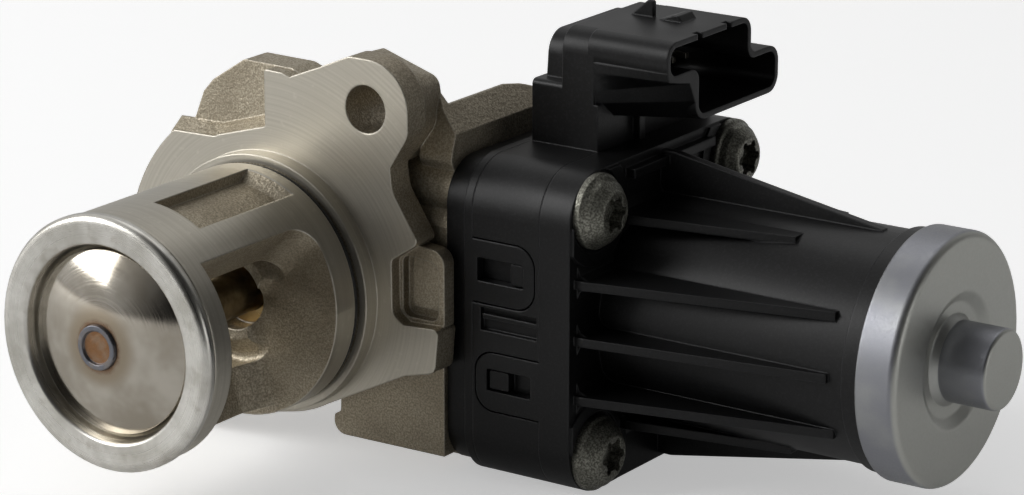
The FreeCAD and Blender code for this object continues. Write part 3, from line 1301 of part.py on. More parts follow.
def connector_cover():
    """Middle layer of the block with the gear chamber and the connector."""
    left, right = val("cover_left"), val("housing_left")
    middle, _, _ = gear_layout()
    ring = slab_yz(block_outline(), left, right)
    room = slab_yz(block_outline(val("block_wall"), val("block_corner")), left - 1, right - val("partition"))
    for sy, sz in screw_places():
        room = room.cut(rod_x(val("screw_radius + sleeve_wall"), left - 2, right, sy, sz))
    ring = ring.cut(room)
    # tower: shoulder at the front left, domed top, plain right part
    tl, tf, tr = val("tower_left"), val("tower_front"), val("tower_rear")
    top, shoulder = val("tower_top"), val("tower_shoulder")
    floor = val("block_top") - 1
    foot, step, split = val("tower_right"), val("tower_step"), val("shroud_split")
    dome = val("tower_dome")
    base = slab_yz([(tf, floor, 0), (tf, shoulder, 0.8), (tr, shoulder, 1.5), (tr, floor, 0)], tl, step)
    back_part = slab_yz([(tf + 2.4, floor, 0), (tf + 2.4, shoulder, 0), (tf + 3.0, dome, 3.4),
                         (tr - 8.0, dome, 3.0), (tr - 6.0, shoulder + 2, 1.5), (tr - 5.4, shoulder, 0),
                         (tr - 5.4, floor, 0)], tl + 0.9, step)
    front_part = slab_yz([(tf, floor, 0), (tf, top, 3.2), (tr - 7.8, top, 2.6), (tr - 7.8, split, 1.6),
                          (tr, split, 2.6), (tr, floor, 0)], step - 1, foot)
    low_part = slab_yz([(tf, floor, 0), (tf, shoulder - 2.4, 0), (tr, shoulder - 2.4, 0), (tr, floor, 0)],
                       foot - 1, right)
    shroud = slab_yz(shroud_outline(0), foot - 1, val("shroud_right"))
    cheek = shroud_cheek(foot - 0.5)
    body = fuse([ring, base, back_part, front_part, low_part, shroud, cheek])
    cavity = slab_yz(shroud_outline(val("shroud_wall")), val("shroud_right - socket_depth"),
                     val("shroud_right") + 1)
    body = body.cut(cavity)
    # two notches in the upper rim of the shroud
    mouth, notch, half = val("shroud_right"), val("notch_depth"), val("notch_width / 2")
    for place in (val("notch_front"), val("notch_front + notch_spacing")):
        body = body.cut(box((mouth - notch, place - half, top - notch), (mouth + 1, place + half, top + 1)))
    # rib under the shroud, locking wedge and guide ribs on its top
    post_y = val("shroud_lower_front") + 1.6
    post = box((right - 0.5, post_y, val("block_top")),
               (right + 1.2, post_y + 1.4, val("shroud_bottom") + 0.4))
    wedge_y, foot_z = val("shroud_upper_front + wedge_place"), top - 0.4
    wedge_left, wedge_top = mouth - val("wedge_set"), top + val("wedge_height")
    wedge_right = wedge_left + val("wedge_length")
    wedge = slab_xz([(wedge_left, foot_z, 0), (wedge_right, foot_z, 0), (wedge_right - 1.0, wedge_top, 0.2),
                     (wedge_right - 1.8, wedge_top, 0)], wedge_y, wedge_y + val("wedge_width"))
    fin_left, fin_top = mouth - val("fin_set"), top + val("fin_height")
    fin_right, fin_y = fin_left + val("fin_length"), wedge_y + val("fin_place")
    fin = slab_xz([(fin_left, foot_z, 0), (fin_right, foot_z, 0), (fin_right, fin_top - 0.2, 0.3),
                   (fin_right - 0.8, fin_top, 0.2)], fin_y, fin_y + val("fin_width"))
    body = fuse([body, post, wedge, fin])
    # recesses for the latch tongues, with their catches
    play = val("latch_play")
    for recess in carrier_tongues(play) + housing_tongues(play):
        body = body.cut(recess)
    catches = [catch("upper", val("upper_low")), catch("lower", val("lower_low"))]
    body = fuse([body] + catches + [mirrored(shape) for shape in catches])
    front, margin = val("block_front"), val("trough_margin")
    start, end, depth = left + val("trough_set"), right - margin, val("trough_depth")
    low, bar_low = val("trough_low"), val("trough_low + trough_bar_rise")
    trough = box((start, front - 1, low), (end, front + depth, low + val("trough_height")))
    bar = box((start + margin, front, bar_low),
              (end, front + depth - val("trough_bar_sink"), bar_low + val("trough_bar_height")))
    body = body.cut(trough.cut(bar))
    # passages: motor nose, gear axle, screws, pins
    body = body.cut(rod_x(val("nose_passage_radius"), right - 4, right + 1, val("motor_y"), val("motor_z")))
    body = body.cut(rod_x(val("axle_radius"), right - val("partition") - 1, right - val("axle_end"), *middle))
    for sy, sz in screw_places():
        body = body.cut(rod_x(val("screw_radius + screw_play"), left - 1, right + 1, sy, sz))
    for pin in pin_shapes():
        body = body.cut(pin)
    return feature("connector_cover", body.removeSplitter())


# ---------------------------------------------------------------- motor
def barrel_ribs():
    """Gussets from the flange to the barrel: a centre web top and bottom, fins on the sides."""
    y, z = val("motor_y"), val("motor_z")
    left, right = val("flange_right"), val("barrel_right")
    radius, thick, proud = val("barrel_radius"), val("rib_thickness"), val("rib_proud")
    top, bottom = val("block_top") - 0.8, val("block_bottom") + 0.8
    front, rear = val("block_front") + 1.2, val("block_rear") - 1.2
    foot = val("rib_foot")
    ribs = []
    for sign, edge in ((1, top - z), (-1, z - bottom)):
        web = slab_xz([(left - 1, z, 0), (left - 1, z + sign * edge, 0), (left + 2.4, z + sign * edge, 0),
                       (right - 6.0, z + sign * (radius + 0.2), 0), (right - 6.0, z, 0)],
                      y - thick / 2, y + thick / 2)
        ribs.append(web)
    outer, upper, lower = val("rib_outer"), val("rib_upper"), val("rib_lower")
    behind_screw = val("screw_spacing / 2 - screw_head_radius - screw_boss") + 1.2
    for height, reach, end in ((outer, behind_screw, 16.0), (upper, y - front, val("rib_end")),
                               (0.0, y - front, val("rib_end")), (-lower, y - front, val("rib_end")),
                               (-outer, behind_screw, 16.0)):
        half = math.sqrt(radius ** 2 - height ** 2)
        middle = z + height
        for sign in (-1, 1):
            fin = Part.Face(Part.makePolygon([
                V(left - 1, y, 0), V(left - 1, y + sign * reach, 0), V(left + 1.6, y + sign * reach, 0),
                V(right - end, y + sign * (half + proud), 0), V(right - end, y, 0), V(left - 1, y, 0)]))
            fin = fin.extrude(V(0, 0, thick))
            fin.translate(V(0, 0, middle - thick / 2))
            sides = sorted((y + sign * (reach - 0.8), y))
            under, over, hollow = middle - thick / 2, middle + thick / 2, foot * 0.3
            base = slab_xz([(left - 1, under - foot, 0), (left, under - foot, 0),
                            (left + hollow, under - hollow, 0), (left + foot, under, 0),
                            (left + foot, over, 0), (left + hollow, over + hollow, 0),
                            (left, over + foot, 0), (left - 1, over + foot, 0)], *sides)
            ribs += [fin, base]
    return ribs


def motor_housing():
    """Moulded barrel with its flange, ribs and latch tongues."""
    left, flange, right = val("housing_left"), val("flange_right"), val("barrel_right")
    y, z = val("motor_y"), val("motor_z")
    head = val("screw_head_radius + head_play")
    plate = slab_yz(block_outline(), left, flange)
    barrel = rod_x(val("barrel_radius"), flange - 1, right, y, z)
    collar = rod_x(val("barrel_radius") + 0.7, right - 2.6, right, y, z)
    seats = [rod_x(head + val("screw_boss"), flange - 1, flange + val("seat_height"), sy, sz)
             for sy, sz in screw_places()]
    outline = slab_yz(block_outline(0.3), left, right)
    seats = [seat.common(outline) for seat in seats]
    reach = val("screw_spacing / 2") - head
    ledge_top = val("block_top - ledge_height")
    ledge = box((flange - 1, y - reach + 2.0, ledge_top - 1.3),
                (flange + val("ledge_width"), y + reach, ledge_top))
    body = fuse([plate, barrel, collar, ledge] + seats + barrel_ribs() + housing_tongues())
    body = body.cut(rod_x(val("can_radius"), left + val("can_set"), right + 1, y, z))
    body = body.cut(rod_x(val("nose_passage_radius"), left - 1, left + 1, y, z))
    for sy, sz in screw_places():
        body = body.cut(rod_x(val("screw_radius + screw_play"), left - 1, flange + 1, sy, sz))
        body = body.cut(rod_x(head, flange, flange + 12, sy, sz))
    return feature("motor_housing", body.removeSplitter())


def motor_can():
    """Drawn steel can of the motor, with the bearing nose at its closed end."""
    start = "housing_left + can_set"
    return turned_body("motor_can", "X", [
        (start, "motor_shaft_radius + part_gap"),
        (start, "can_nose_radius"),
        (start, "can_radius"),
        ("barrel_right", "can_radius"),
        ("barrel_right", "can_radius - can_wall"),
        (start + " + can_floor", "can_radius - can_wall"),
        (start + " + can_floor", "motor_shaft_radius + part_gap"),
    ], ("0", "motor_y", "motor_z"))


def motor_bushes():
    """Sintered bushes at both ends of the motor shaft, as a group of two."""
    y, z = val("motor_y"), val("motor_z")
    low = val("housing_left + can_set + can_floor")
    far = val("stub_right - stub_wall")
    radius, bore = val("bush_radius"), val("motor_shaft_radius + running_clearance")
    bushes = []
    for start, end in ((low, low + val("front_bush_length")), (far - val("rear_bush_length"), far)):
        bushes.append(rod_x(radius, start, end, y, z).cut(rod_x(bore, start - 1, end + 1, y, z)))
    return feature("motor_bushes", Part.makeCompound(bushes))


def field_magnets():
    """Two arc magnets bonded into the can."""
    y, z = val("motor_y"), val("motor_z")
    outer = val("can_radius - can_wall")
    inner = val("armature_radius + magnet_gap")
    low, high = armature_span()
    ring = rod_x(outer, low, high, y, z).cut(rod_x(inner, low - 1, high + 1, y, z))
    half = val("magnet_split / 2")
    split = box((low - 2, y - half, z - outer - 2), (high + 2, y + half, z + outer + 2))
    return feature("field_magnets", ring.cut(split))


def armature_span():
    """Stations of the armature core along X."""
    middle = val("(housing_left + barrel_right) / 2 + armature_shift")
    half = val("armature_length / 2")
    return middle - half, middle + half


def motor_shaft():
    """Shaft of the motor."""
    _, _, wheel_low, _ = gear_stations()
    end = val("stub_right - stub_wall - shaft_room")
    y, z = val("motor_y"), val("motor_z")
    return feature("motor_shaft", rod_x(val("motor_shaft_radius"), wheel_low + 0.2, end, y, z))


def armature():
    """Laminated core with winding slots."""
    y, z = val("motor_y"), val("motor_z")
    low, high = armature_span()
    radius = val("armature_radius")
    core = rod_x(radius, low, high, y, z)
    core = core.cut(rod_x(val("motor_shaft_radius"), low - 1, high + 1, y, z))
    count, half = int(val("winding_slots")), val("slot_width / 2")
    for k in range(count):
        slot = box((low - 1, y - half, z + val("slot_floor")), (high + 1, y + half, z + radius + 1))
        slot.rotate(V(0, y, z), AXIS_X, 360.0 * k / count)
        core = core.cut(slot)
    return feature("armature", core)


def commutator():
    """Copper commutator beside the armature."""
    y, z = val("motor_y"), val("motor_z")
    _, core_end = armature_span()
    start = core_end + val("commutator_gap")
    end = start + val("commutator_length")
    drum = rod_x(val("commutator_radius"), start, end, y, z)
    return feature("commutator", drum.cut(rod_x(val("motor_shaft_radius"), start - 1, end + 1, y, z)))


def end_cap():
    """Pressed steel cap with the bearing stub."""
    body = turned_body("end_cap", "X", [
        ("barrel_right", "can_radius"),
        ("barrel_right", "cap_radius"),
        ("cap_right", "cap_radius"),
        ("cap_right", "cap_dish_radius"),
        ("cap_right - cap_dish_depth", "cap_dish_radius - dish_slope"),
        ("cap_right - cap_dish_depth", "stub_radius + stub_foot"),
        ("cap_right", "stub_radius"),
        ("stub_right", "stub_radius"),
        ("stub_right", "0"),
        ("stub_right - stub_wall", "0"),
        ("stub_right - stub_wall", "bush_radius"),
        ("cap_right - cap_dish_depth - cap_wall", "bush_radius"),
        ("cap_right - cap_dish_depth - cap_wall", "can_radius"),
    ], ("0", "motor_y", "motor_z"))
    dress_edges(body, "Fillet", "cap_round", ring_edge("X", "cap_right", "cap_radius"))
    dress_edges(body, "Fillet", "cap_round", ring_edge("X", "cap_right", "cap_dish_radius"))
    dress_edges(body, "Fillet", "cap_round * 0.8",
                ring_edge("X", "cap_right - cap_dish_depth", "cap_dish_radius - dish_slope"))
    dress_edges(body, "Fillet", "cap_round * 0.5", ring_edge("X", "stub_right", "stub_radius"))
    return body


def cover_screws():
    """Four round-head screws with six-lobed sockets, as one group."""
    seat = val("flange_right")
    radius, height = val("screw_head_radius"), val("screw_head_height")
    rim, dome = val("screw_rim"), val("screw_dome_radius")
    flat = val("screw_socket_radius") + 0.3
    head = turned([(seat, 0), (seat, radius), (seat + rim, radius, rim * 0.35),
                   (seat + rim * 1.4, dome + 0.35, 0.2),
                   (seat + height * 0.62, dome, 0.7), (seat + height * 0.93, dome * 0.75, 1.0),
                   (seat + height, flat, 0.5), (seat + height, 0)], "X")
    shank = rod_x(val("screw_radius"), seat - val("screw_length"), seat + 0.1)
    floor, mouth = seat + height - val("screw_socket_depth"), seat + height + 1
    reach, lobe = val("screw_socket_radius"), val("lobe_radius")
    lobes = [rod_x(lobe, floor, mouth, *polar(reach - lobe, math.radians(60 * k))[:2]) for k in range(6)]
    socket = fuse([rod_x(reach * 0.74, floor, mouth)] + lobes)
    screw = fuse([head, shank]).cut(socket)
    screws = []
    for sy, sz in screw_places():
        copy = screw.copy()
        copy.translate(V(0, sy, sz))
        screws.append(copy)
    return feature("cover_screws", Part.makeCompound(screws))


# ---------------------------------------------------------------- build and export
BUILDERS = [
    valve_housing, seat_ring, guide_bush, stem_seal, nose_seal_ring, return_spring,
    valve_head, valve_stem, spring_retainer, stem_carrier, roller_pin, cam_roller,
    cam_disc, output_shaft, output_gear, sensor_magnet, shaft_bush, shaft_bearing,
    intermediate_gear, gear_axle, motor_pinion, motor_shaft, armature, commutator,
    motor_bushes, motor_can, field_magnets, end_cap, motor_housing, gear_carrier,
    connector_cover, contact_pins, sensor_board, cover_screws,
]
for builder in BUILDERS:
    builder()
doc.recompute()

for obj in doc.Objects:
    if "Invalid" in obj.State or "Error" in obj.State:
        raise RuntimeError("%s failed: %s" % (obj.Label, obj.State))
for node in NODES:
    if node.Shape.isNull() or not node.Shape.isValid():
        raise RuntimeError("%s has no valid shape" % node.Label)

os.makedirs("parts", exist_ok=True)
for node in NODES:
    node.Shape.exportStep("parts/%s.step" % node.Label)
    print("%-20s solids %d  volume %9.1f mm3" % (node.Label, len(node.Shape.Solids), node.Shape.Volume))
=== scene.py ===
"""Looks of the electric exhaust gas recirculation valve.

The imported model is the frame: its nodes are never moved or changed here.  Each sub-assembly is a
class that gives its nodes their procedural finishes and makes the small pieces that only matter to
the eye.  Lengths are metres in the frame's own axes, with the small sizes written in millimetres.
"""
from __future__ import annotations

import logging
import math
from dataclasses import dataclass
from enum import Enum
from typing import ClassVar, Protocol, Sequence

import bpy
from mathutils import Matrix, Vector

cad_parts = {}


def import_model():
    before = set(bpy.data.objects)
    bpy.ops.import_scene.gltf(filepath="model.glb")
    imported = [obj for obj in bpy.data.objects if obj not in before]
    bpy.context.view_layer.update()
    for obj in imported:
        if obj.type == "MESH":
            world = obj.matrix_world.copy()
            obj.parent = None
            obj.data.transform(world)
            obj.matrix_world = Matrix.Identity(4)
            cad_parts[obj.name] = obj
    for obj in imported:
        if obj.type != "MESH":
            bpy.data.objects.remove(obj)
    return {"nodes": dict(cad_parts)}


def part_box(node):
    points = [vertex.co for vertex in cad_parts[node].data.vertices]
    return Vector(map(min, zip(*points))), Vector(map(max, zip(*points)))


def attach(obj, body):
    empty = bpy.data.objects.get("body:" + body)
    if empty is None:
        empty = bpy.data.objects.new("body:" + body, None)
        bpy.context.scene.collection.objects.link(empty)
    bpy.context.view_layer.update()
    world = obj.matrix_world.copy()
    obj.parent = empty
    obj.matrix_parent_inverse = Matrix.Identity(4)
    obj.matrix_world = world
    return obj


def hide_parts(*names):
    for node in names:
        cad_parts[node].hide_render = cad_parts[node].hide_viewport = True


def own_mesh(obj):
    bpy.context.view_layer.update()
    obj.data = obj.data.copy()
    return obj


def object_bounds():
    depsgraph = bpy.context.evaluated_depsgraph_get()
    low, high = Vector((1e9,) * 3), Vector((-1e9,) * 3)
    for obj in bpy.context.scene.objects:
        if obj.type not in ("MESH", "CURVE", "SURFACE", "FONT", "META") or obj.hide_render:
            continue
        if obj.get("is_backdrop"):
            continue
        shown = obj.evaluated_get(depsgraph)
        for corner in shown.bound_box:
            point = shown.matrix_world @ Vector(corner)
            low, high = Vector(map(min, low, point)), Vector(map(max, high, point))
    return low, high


LOG = logging.getLogger("egr_valve")
MM = 0.001
FLOOR_GAP = 0.2 * MM
SPREAD = (0.3, 0.7)  # where nearly all of a noise lies

Colour = tuple[float, float, float]


# ------------------------------------------------------------------ node helpers
class NodeTree:
    """Adds nodes to one node tree of any kind and links them."""

    def __init__(self, tree: bpy.types.NodeTree) -> None:
        """Take over a node tree."""
        self.tree = tree

    def plug(self, socket: bpy.types.NodeSocket, value: object) -> None:
        """Link a socket to another socket, or set its own value.

        Args:
            socket: the input socket.
            value: an output socket, a number, a colour or a vector.
        """
        if isinstance(value, bpy.types.NodeSocket):
            self.tree.links.new(value, socket)
            return
        if socket.type == "RGBA" and len(value) == 3:
            value = (*value, 1.0)
        socket.default_value = value

    def add(self, kind: str, inputs: dict[str | int, object] | None = None,
            **settings: object) -> bpy.types.Node:
        """Add a node, set its properties, and fill its inputs.

        Args:
            kind: the node's type.
            inputs: values or sockets, by the input's name or number.
            **settings: plain properties.

        Returns:
            The new node.
        """
        node = self.tree.nodes.new(kind)
        for name, value in settings.items():
            setattr(node, name, value)
        for name, value in (inputs or {}).items():
            self.plug(node.inputs[name], value)
        return node


class Graph(NodeTree):
    """The shader graph of one material."""

    BEVEL_SAMPLES = 6

    def __init__(self, material: bpy.types.Material) -> None:
        """Start an empty shader graph.

        Args:
            material: the material whose graph is filled.
        """
        material.use_nodes = True
        super().__init__(material.node_tree)
        self.tree.nodes.clear()
        self.output = self.add("ShaderNodeOutputMaterial")

    def coordinates(self) -> bpy.types.NodeSocket:
        """Object coordinates, in metres in the frame's axes."""
        return self.add("ShaderNodeTexCoord").outputs["Object"]

    def parts(self, vector: bpy.types.NodeSocket) -> Sequence[bpy.types.NodeSocket]:
        """Split a vector into its three numbers."""
        return self.add("ShaderNodeSeparateXYZ", {0: vector}).outputs

    def join(self, x: object, y: object, z: object) -> bpy.types.NodeSocket:
        """Make a vector from three numbers."""
        return self.add("ShaderNodeCombineXYZ", {0: x, 1: y, 2: z}).outputs[0]

    def math(self, operation: str, a: object, b: object = 0.0, c: object = 0.0) -> bpy.types.NodeSocket:
        """One arithmetic step."""
        return self.add("ShaderNodeMath", {0: a, 1: b, 2: c}, operation=operation).outputs[0]

    def scaled(self, vector: object, factors: tuple[float, float, float]) -> bpy.types.NodeSocket:
        """Multiply a vector by three factors."""
        return self.add("ShaderNodeVectorMath", {0: vector, 1: factors}, operation="MULTIPLY").outputs[0]

    def noise(self, vector: object, scale: float, detail: float = 2.0,
              roughness: float = 0.5) -> bpy.types.NodeSocket:
        """Fractal noise from 0 to 1."""
        inputs = {"Vector": vector, "Scale": scale, "Detail": detail, "Roughness": roughness}
        return self.add("ShaderNodeTexNoise", inputs).outputs["Fac"]

    def cells(self, vector: object, scale: float) -> bpy.types.NodeSocket:
        """Distance to the nearest point of a random grid."""
        return self.add("ShaderNodeTexVoronoi", {"Vector": vector, "Scale": scale}).outputs["Distance"]

    def span(self, value: object, low: float, high: float, to_low: float = 0.0,
             to_high: float = 1.0) -> bpy.types.NodeSocket:
        """Map a range smoothly onto another, clamped."""
        inputs = {"Value": value, "From Min": low, "From Max": high, "To Min": to_low, "To Max": to_high}
        return self.add("ShaderNodeMapRange", inputs, interpolation_type="SMOOTHSTEP").outputs["Result"]

    def blend(self, factor: object, a: object, b: object) -> bpy.types.NodeSocket:
        """Mix two colours."""
        return self.add("ShaderNodeMix", {0: factor, 6: a, 7: b}, data_type="RGBA").outputs[2]

    def between(self, factor: object, a: object, b: object) -> bpy.types.NodeSocket:
        """Mix two numbers."""
        return self.add("ShaderNodeMix", {0: factor, 2: a, 3: b}, data_type="FLOAT").outputs[0]

    def bump(self, height: object, distance: float, strength: object = 1.0,
             normal: bpy.types.NodeSocket | None = None) -> bpy.types.NodeSocket:
        """Bend the normal by a height map.

        Args:
            height: the map, from 0 to 1.
            distance: how far 1 stands out, in metres.
            strength: share of the bump that shows.
            normal: the normal that is bent, or the surface's own.

        Returns:
            The bent normal.
        """
        inputs = {"Height": height, "Distance": distance, "Strength": strength}
        if normal is not None:
            inputs["Normal"] = normal
        return self.add("ShaderNodeBump", inputs).outputs["Normal"]

    def edge_round(self, radius: float) -> bpy.types.NodeSocket:
        """Normal that rounds sharp edges by a radius."""
        return self.add("ShaderNodeBevel", {"Radius": radius}, samples=self.BEVEL_SAMPLES).outputs["Normal"]

    def edge_mask(self, radius: float, low: float = 0.02, high: float = 0.3) -> bpy.types.NodeSocket:
        """Mask that is 1 on sharp edges and 0 on open faces.

        Args:
            radius: how far from an edge the mask reaches.
            low: bend of the normal at which it starts.
            high: bend of the normal at which it is full.

        Returns:
            The mask.
        """
        plain = self.add("ShaderNodeNewGeometry").outputs["Normal"]
        turned = self.add("ShaderNodeVectorMath", {0: self.edge_round(radius), 1: plain},
                          operation="DOT_PRODUCT")
        return self.span(self.math("SUBTRACT", 1.0, turned.outputs["Value"]), low, high)

    def tinted_edges(self, colour: object, edge: object, radius: float, share: float) -> bpy.types.NodeSocket:
        """Show another colour on sharp edges.

        Args:
            colour: colour of the open faces.
            edge: colour of the edges.
            radius: how far it reaches from an edge.
            share: how much of it shows.

        Returns:
            The mixed colour.
        """
        return self.blend(self.math("MULTIPLY", self.edge_mask(radius), share), colour, edge)

    def axis_radius(self) -> bpy.types.NodeSocket:
        """Distance from the axis of the nose, which is the frame's Y axis."""
        x, _, z = self.parts(self.coordinates())
        return self.math("SQRT", self.math("ADD", self.math("MULTIPLY", x, x), self.math("MULTIPLY", z, z)))

    def surface(self, **sockets: object) -> None:
        """End the graph in one principled surface.

        Args:
            **sockets: input names with underscores for spaces, and their values.
        """
        inputs = {name.replace("_", " "): value for name, value in sockets.items()}
        shader = self.add("ShaderNodeBsdfPrincipled", inputs)
        self.plug(self.output.inputs["Surface"], shader.outputs[0])


# ------------------------------------------------------------------ finishes
class Paint(Protocol):
    """What every finish can do."""

    def paint(self, g: Graph) -> None:
        """Fill one shader graph.

        Args:
            g: the empty graph.
        """


@dataclass(frozen=True)
class CastAluminium:
    """Shot-blasted casting whose mounting face and nose land are machined."""

    cast_dark: Colour = (0.305, 0.266, 0.198)
    cast_light: Colour = (0.510, 0.452, 0.350)
    stain: Colour = (0.250, 0.212, 0.152)
    edge: Colour = (0.62, 0.585, 0.51)
    turned_dark: Colour = (0.45, 0.420, 0.356)
    turned_light: Colour = (0.53, 0.500, 0.432)
    land: tuple[float, float] = (18.05 * MM, 19.4 * MM)
    cast_rough: tuple[float, float] = (0.60, 0.44)
    turned_rough: tuple[float, float] = (0.34, 0.40)
    face_depth: float = 0.06 * MM
    land_end: float = -0.1 * MM
    grain: float = 3400.0
    lumps: float = 1100.0
    clouds: float = 75.0
    rings: float = 2600.0
    flecks: float = 900.0
    edge_reach: float = 0.5 * MM
    edge_rounding: float = 0.35 * MM
    blast_height: float = 0.14 * MM
    ring_height: float = 0.005 * MM

    def machined(self, g: Graph) -> bpy.types.NodeSocket:
        """Mask of the mounting face and of the turned land of the nose.

        Args:
            g: the graph that takes the mask's nodes.

        Returns:
            The mask.
        """
        _, y, _ = g.parts(g.coordinates())
        radius = g.axis_radius()
        on_face = g.math("COMPARE", y, 0.0, self.face_depth)
        on_land = g.math("MULTIPLY", g.math("GREATER_THAN", radius, self.land[0]),
                         g.math("LESS_THAN", radius, self.land[1]))
        on_land = g.math("MULTIPLY", on_land, g.math("LESS_THAN", y, self.land_end))
        return g.math("MAXIMUM", on_face, on_land)

    def paint(self, g: Graph) -> None:
        """Blast the raw faces and turn the machined ones.

        Args:
            g: the empty graph.
        """
        position = g.coordinates()
        _, y, _ = g.parts(position)
        machined = self.machined(g)
        grain = g.noise(position, self.grain, detail=3.0, roughness=0.62)
        lumps = g.noise(position, self.lumps)
        cloud = g.noise(position, self.clouds, detail=3.0, roughness=0.55)
        cast = g.blend(g.span(grain, 0.36, 0.66), self.cast_dark, self.cast_light)
        cast = g.blend(g.span(cloud, 0.42, 0.72, 0.0, 0.55), cast, self.stain)
        # the sharp edges take a lighter colour
        cast = g.tinted_edges(cast, self.edge, self.edge_reach, share=0.55)
        rings = g.noise(g.join(y, g.axis_radius(), 0.0), self.rings)
        turned = g.blend(g.span(rings, *SPREAD), self.turned_dark, self.turned_light)
        turned = g.blend(g.span(cloud, 0.4, 0.7, 0.0, 0.35), turned, self.turned_dark)
        turned = g.blend(g.span(g.noise(position, self.flecks), 0.62, 0.72, 0.0, 0.3), turned, self.edge)
        roughness = g.between(machined, g.span(grain, *SPREAD, *self.cast_rough),
                              g.span(rings, 0.2, 0.8, *self.turned_rough))
        height = g.math("ADD", g.math("MULTIPLY", grain, 0.55), g.math("MULTIPLY", lumps, 0.9))
        blasted = g.bump(height, self.blast_height, g.math("SUBTRACT", 1.0, machined),
                         g.edge_round(self.edge_rounding))
        g.surface(Base_Color=g.blend(machined, cast, turned), Metallic=0.9, Roughness=roughness,
                  Normal=g.bump(rings, self.ring_height, machined, blasted))


@dataclass(frozen=True)
class WornMetal:
    """A metal with cloudy wear, fine scratches and lighter edges."""

    base: Colour
    roughness: float
    streak: float = 0.08
    metallic: float = 1.0
    clouds: float = 260.0
    scratches: float = 4200.0
    scratch_height: float = 0.004 * MM
    darker: float = 0.72
    lighter: float = 1.3
    edge_reach: float = 0.25 * MM
    edge_rounding: float = 0.2 * MM

    def paint(self, g: Graph) -> None:
        """Cloud the metal, scratch it along X and lighten its edges.

        Args:
            g: the empty graph.
        """
        position = g.coordinates()
        cloud = g.noise(position, self.clouds, detail=3.0, roughness=0.6)
        scratch = g.noise(g.scaled(position, (0.12, 1.0, 1.0)), self.scratches)
        dark = tuple(part * self.darker for part in self.base)
        light = tuple(min(1.0, part * self.lighter) for part in self.base)
        colour = g.blend(g.span(cloud, *SPREAD), dark, self.base)
        rough = g.span(cloud, 0.25, 0.75, self.roughness - self.streak, self.roughness + self.streak)
        g.surface(Base_Color=g.tinted_edges(colour, light, self.edge_reach, share=0.6),
                  Metallic=self.metallic, Roughness=rough,
                  Normal=g.bump(scratch, self.scratch_height, 0.7, g.edge_round(self.edge_rounding)))


@dataclass(frozen=True)
class PoppetSteel:
    """Polished dome with turning marks, heat tint and a rusty halo round the weld."""

    steel_dark: Colour = (0.34, 0.305, 0.25)
    steel_light: Colour = (0.50, 0.465, 0.405)
    straw: Colour = (0.27, 0.215, 0.145)
    halo: Colour = (0.17, 0.095, 0.055)
    halo_ring: tuple[float, float] = (3.2 * MM, 4.3 * MM)
    halo_wander: float = 0.9 * MM
    tint_end: float = 7.0 * MM
    rough: tuple[float, float] = (0.09, 0.16)
    halo_rough: float = 0.3
    marks: float = 2600.0
    mark_height: float = 0.006 * MM
    clouds: float = 120.0
    spots: float = 700.0
    edge_rounding: float = 0.25 * MM

    def paint(self, g: Graph) -> None:
        """Polish the dome, tint its middle and lay the halo round the weld.

        Args:
            g: the empty graph.
        """
        position = g.coordinates()
        radius = g.axis_radius()
        marks = g.noise(g.join(radius, 0.0, 0.0), self.marks)
        cloud = g.noise(position, self.clouds, detail=3.0, roughness=0.6)
        steel = g.blend(g.span(cloud, *SPREAD), self.steel_dark, self.steel_light)
        tint = g.math("MULTIPLY", g.span(radius, self.halo_ring[1], self.tint_end, 0.8, 0.0),
                      g.span(cloud, 0.2, 0.6, 0.5, 1.0))
        colour = g.blend(tint, steel, self.straw)
        uneven = g.math("SUBTRACT", g.noise(position, self.spots), 0.5)
        wander = g.math("ADD", radius, g.math("MULTIPLY", uneven, self.halo_wander))
        colour = g.blend(g.span(wander, *self.halo_ring, 0.9, 0.0), colour, self.halo)
        rough = g.math("ADD", g.span(marks, *SPREAD, *self.rough),
                       g.span(wander, *self.halo_ring, self.halo_rough, 0.0))
        g.surface(Base_Color=colour, Metallic=1.0, Roughness=rough,
                  Normal=g.bump(marks, self.mark_height, 0.8, g.edge_round(self.edge_rounding)))


@dataclass(frozen=True)
class StemSteel:
    """Ground stem, smoked brown by the gas, with its welded end in copper brown and slate blue."""

    ground: Colour = (0.34, 0.27, 0.16)
    smoked: Colour = (0.20, 0.145, 0.08)
    centre: Colour = (0.24, 0.125, 0.06)
    bead: Colour = (0.16, 0.165, 0.185)
    spatter: Colour = (0.30, 0.24, 0.18)
    weld_start: float = -38.5 * MM
    bead_radius: float = 2.2 * MM
    bead_edge: float = 0.15 * MM
    shaft_rough: float = 0.28
    weld_rough: tuple[float, float] = (0.30, 0.5)
    clouds: float = 500.0
    ripples: float = 1600.0
    ripple_height: float = 0.10 * MM
    edge_rounding: float = 0.12 * MM

    def paint(self, g: Graph) -> None:
        """Smoke the shaft and colour its welded end.

        Args:
            g: the empty graph.
        """
        position = g.coordinates()
        _, y, _ = g.parts(position)
        cloud = g.noise(position, self.clouds, detail=3.0, roughness=0.6)
        shaft = g.blend(g.span(cloud, *SPREAD), self.smoked, self.ground)
        weld = g.blend(g.span(g.axis_radius(), self.bead_radius, self.bead_radius + self.bead_edge),
                       self.centre, self.bead)
        weld = g.blend(g.span(cloud, 0.45, 0.7, 0.0, 0.45), weld, self.spatter)
        at_weld = g.math("LESS_THAN", y, self.weld_start)
        ripples = g.noise(position, self.ripples)
        g.surface(Base_Color=g.blend(at_weld, shaft, weld), Metallic=0.95,
                  Roughness=g.between(at_weld, self.shaft_rough, g.span(cloud, *SPREAD, *self.weld_rough)),
                  Normal=g.bump(ripples, self.ripple_height, at_weld, g.edge_round(self.edge_rounding)))


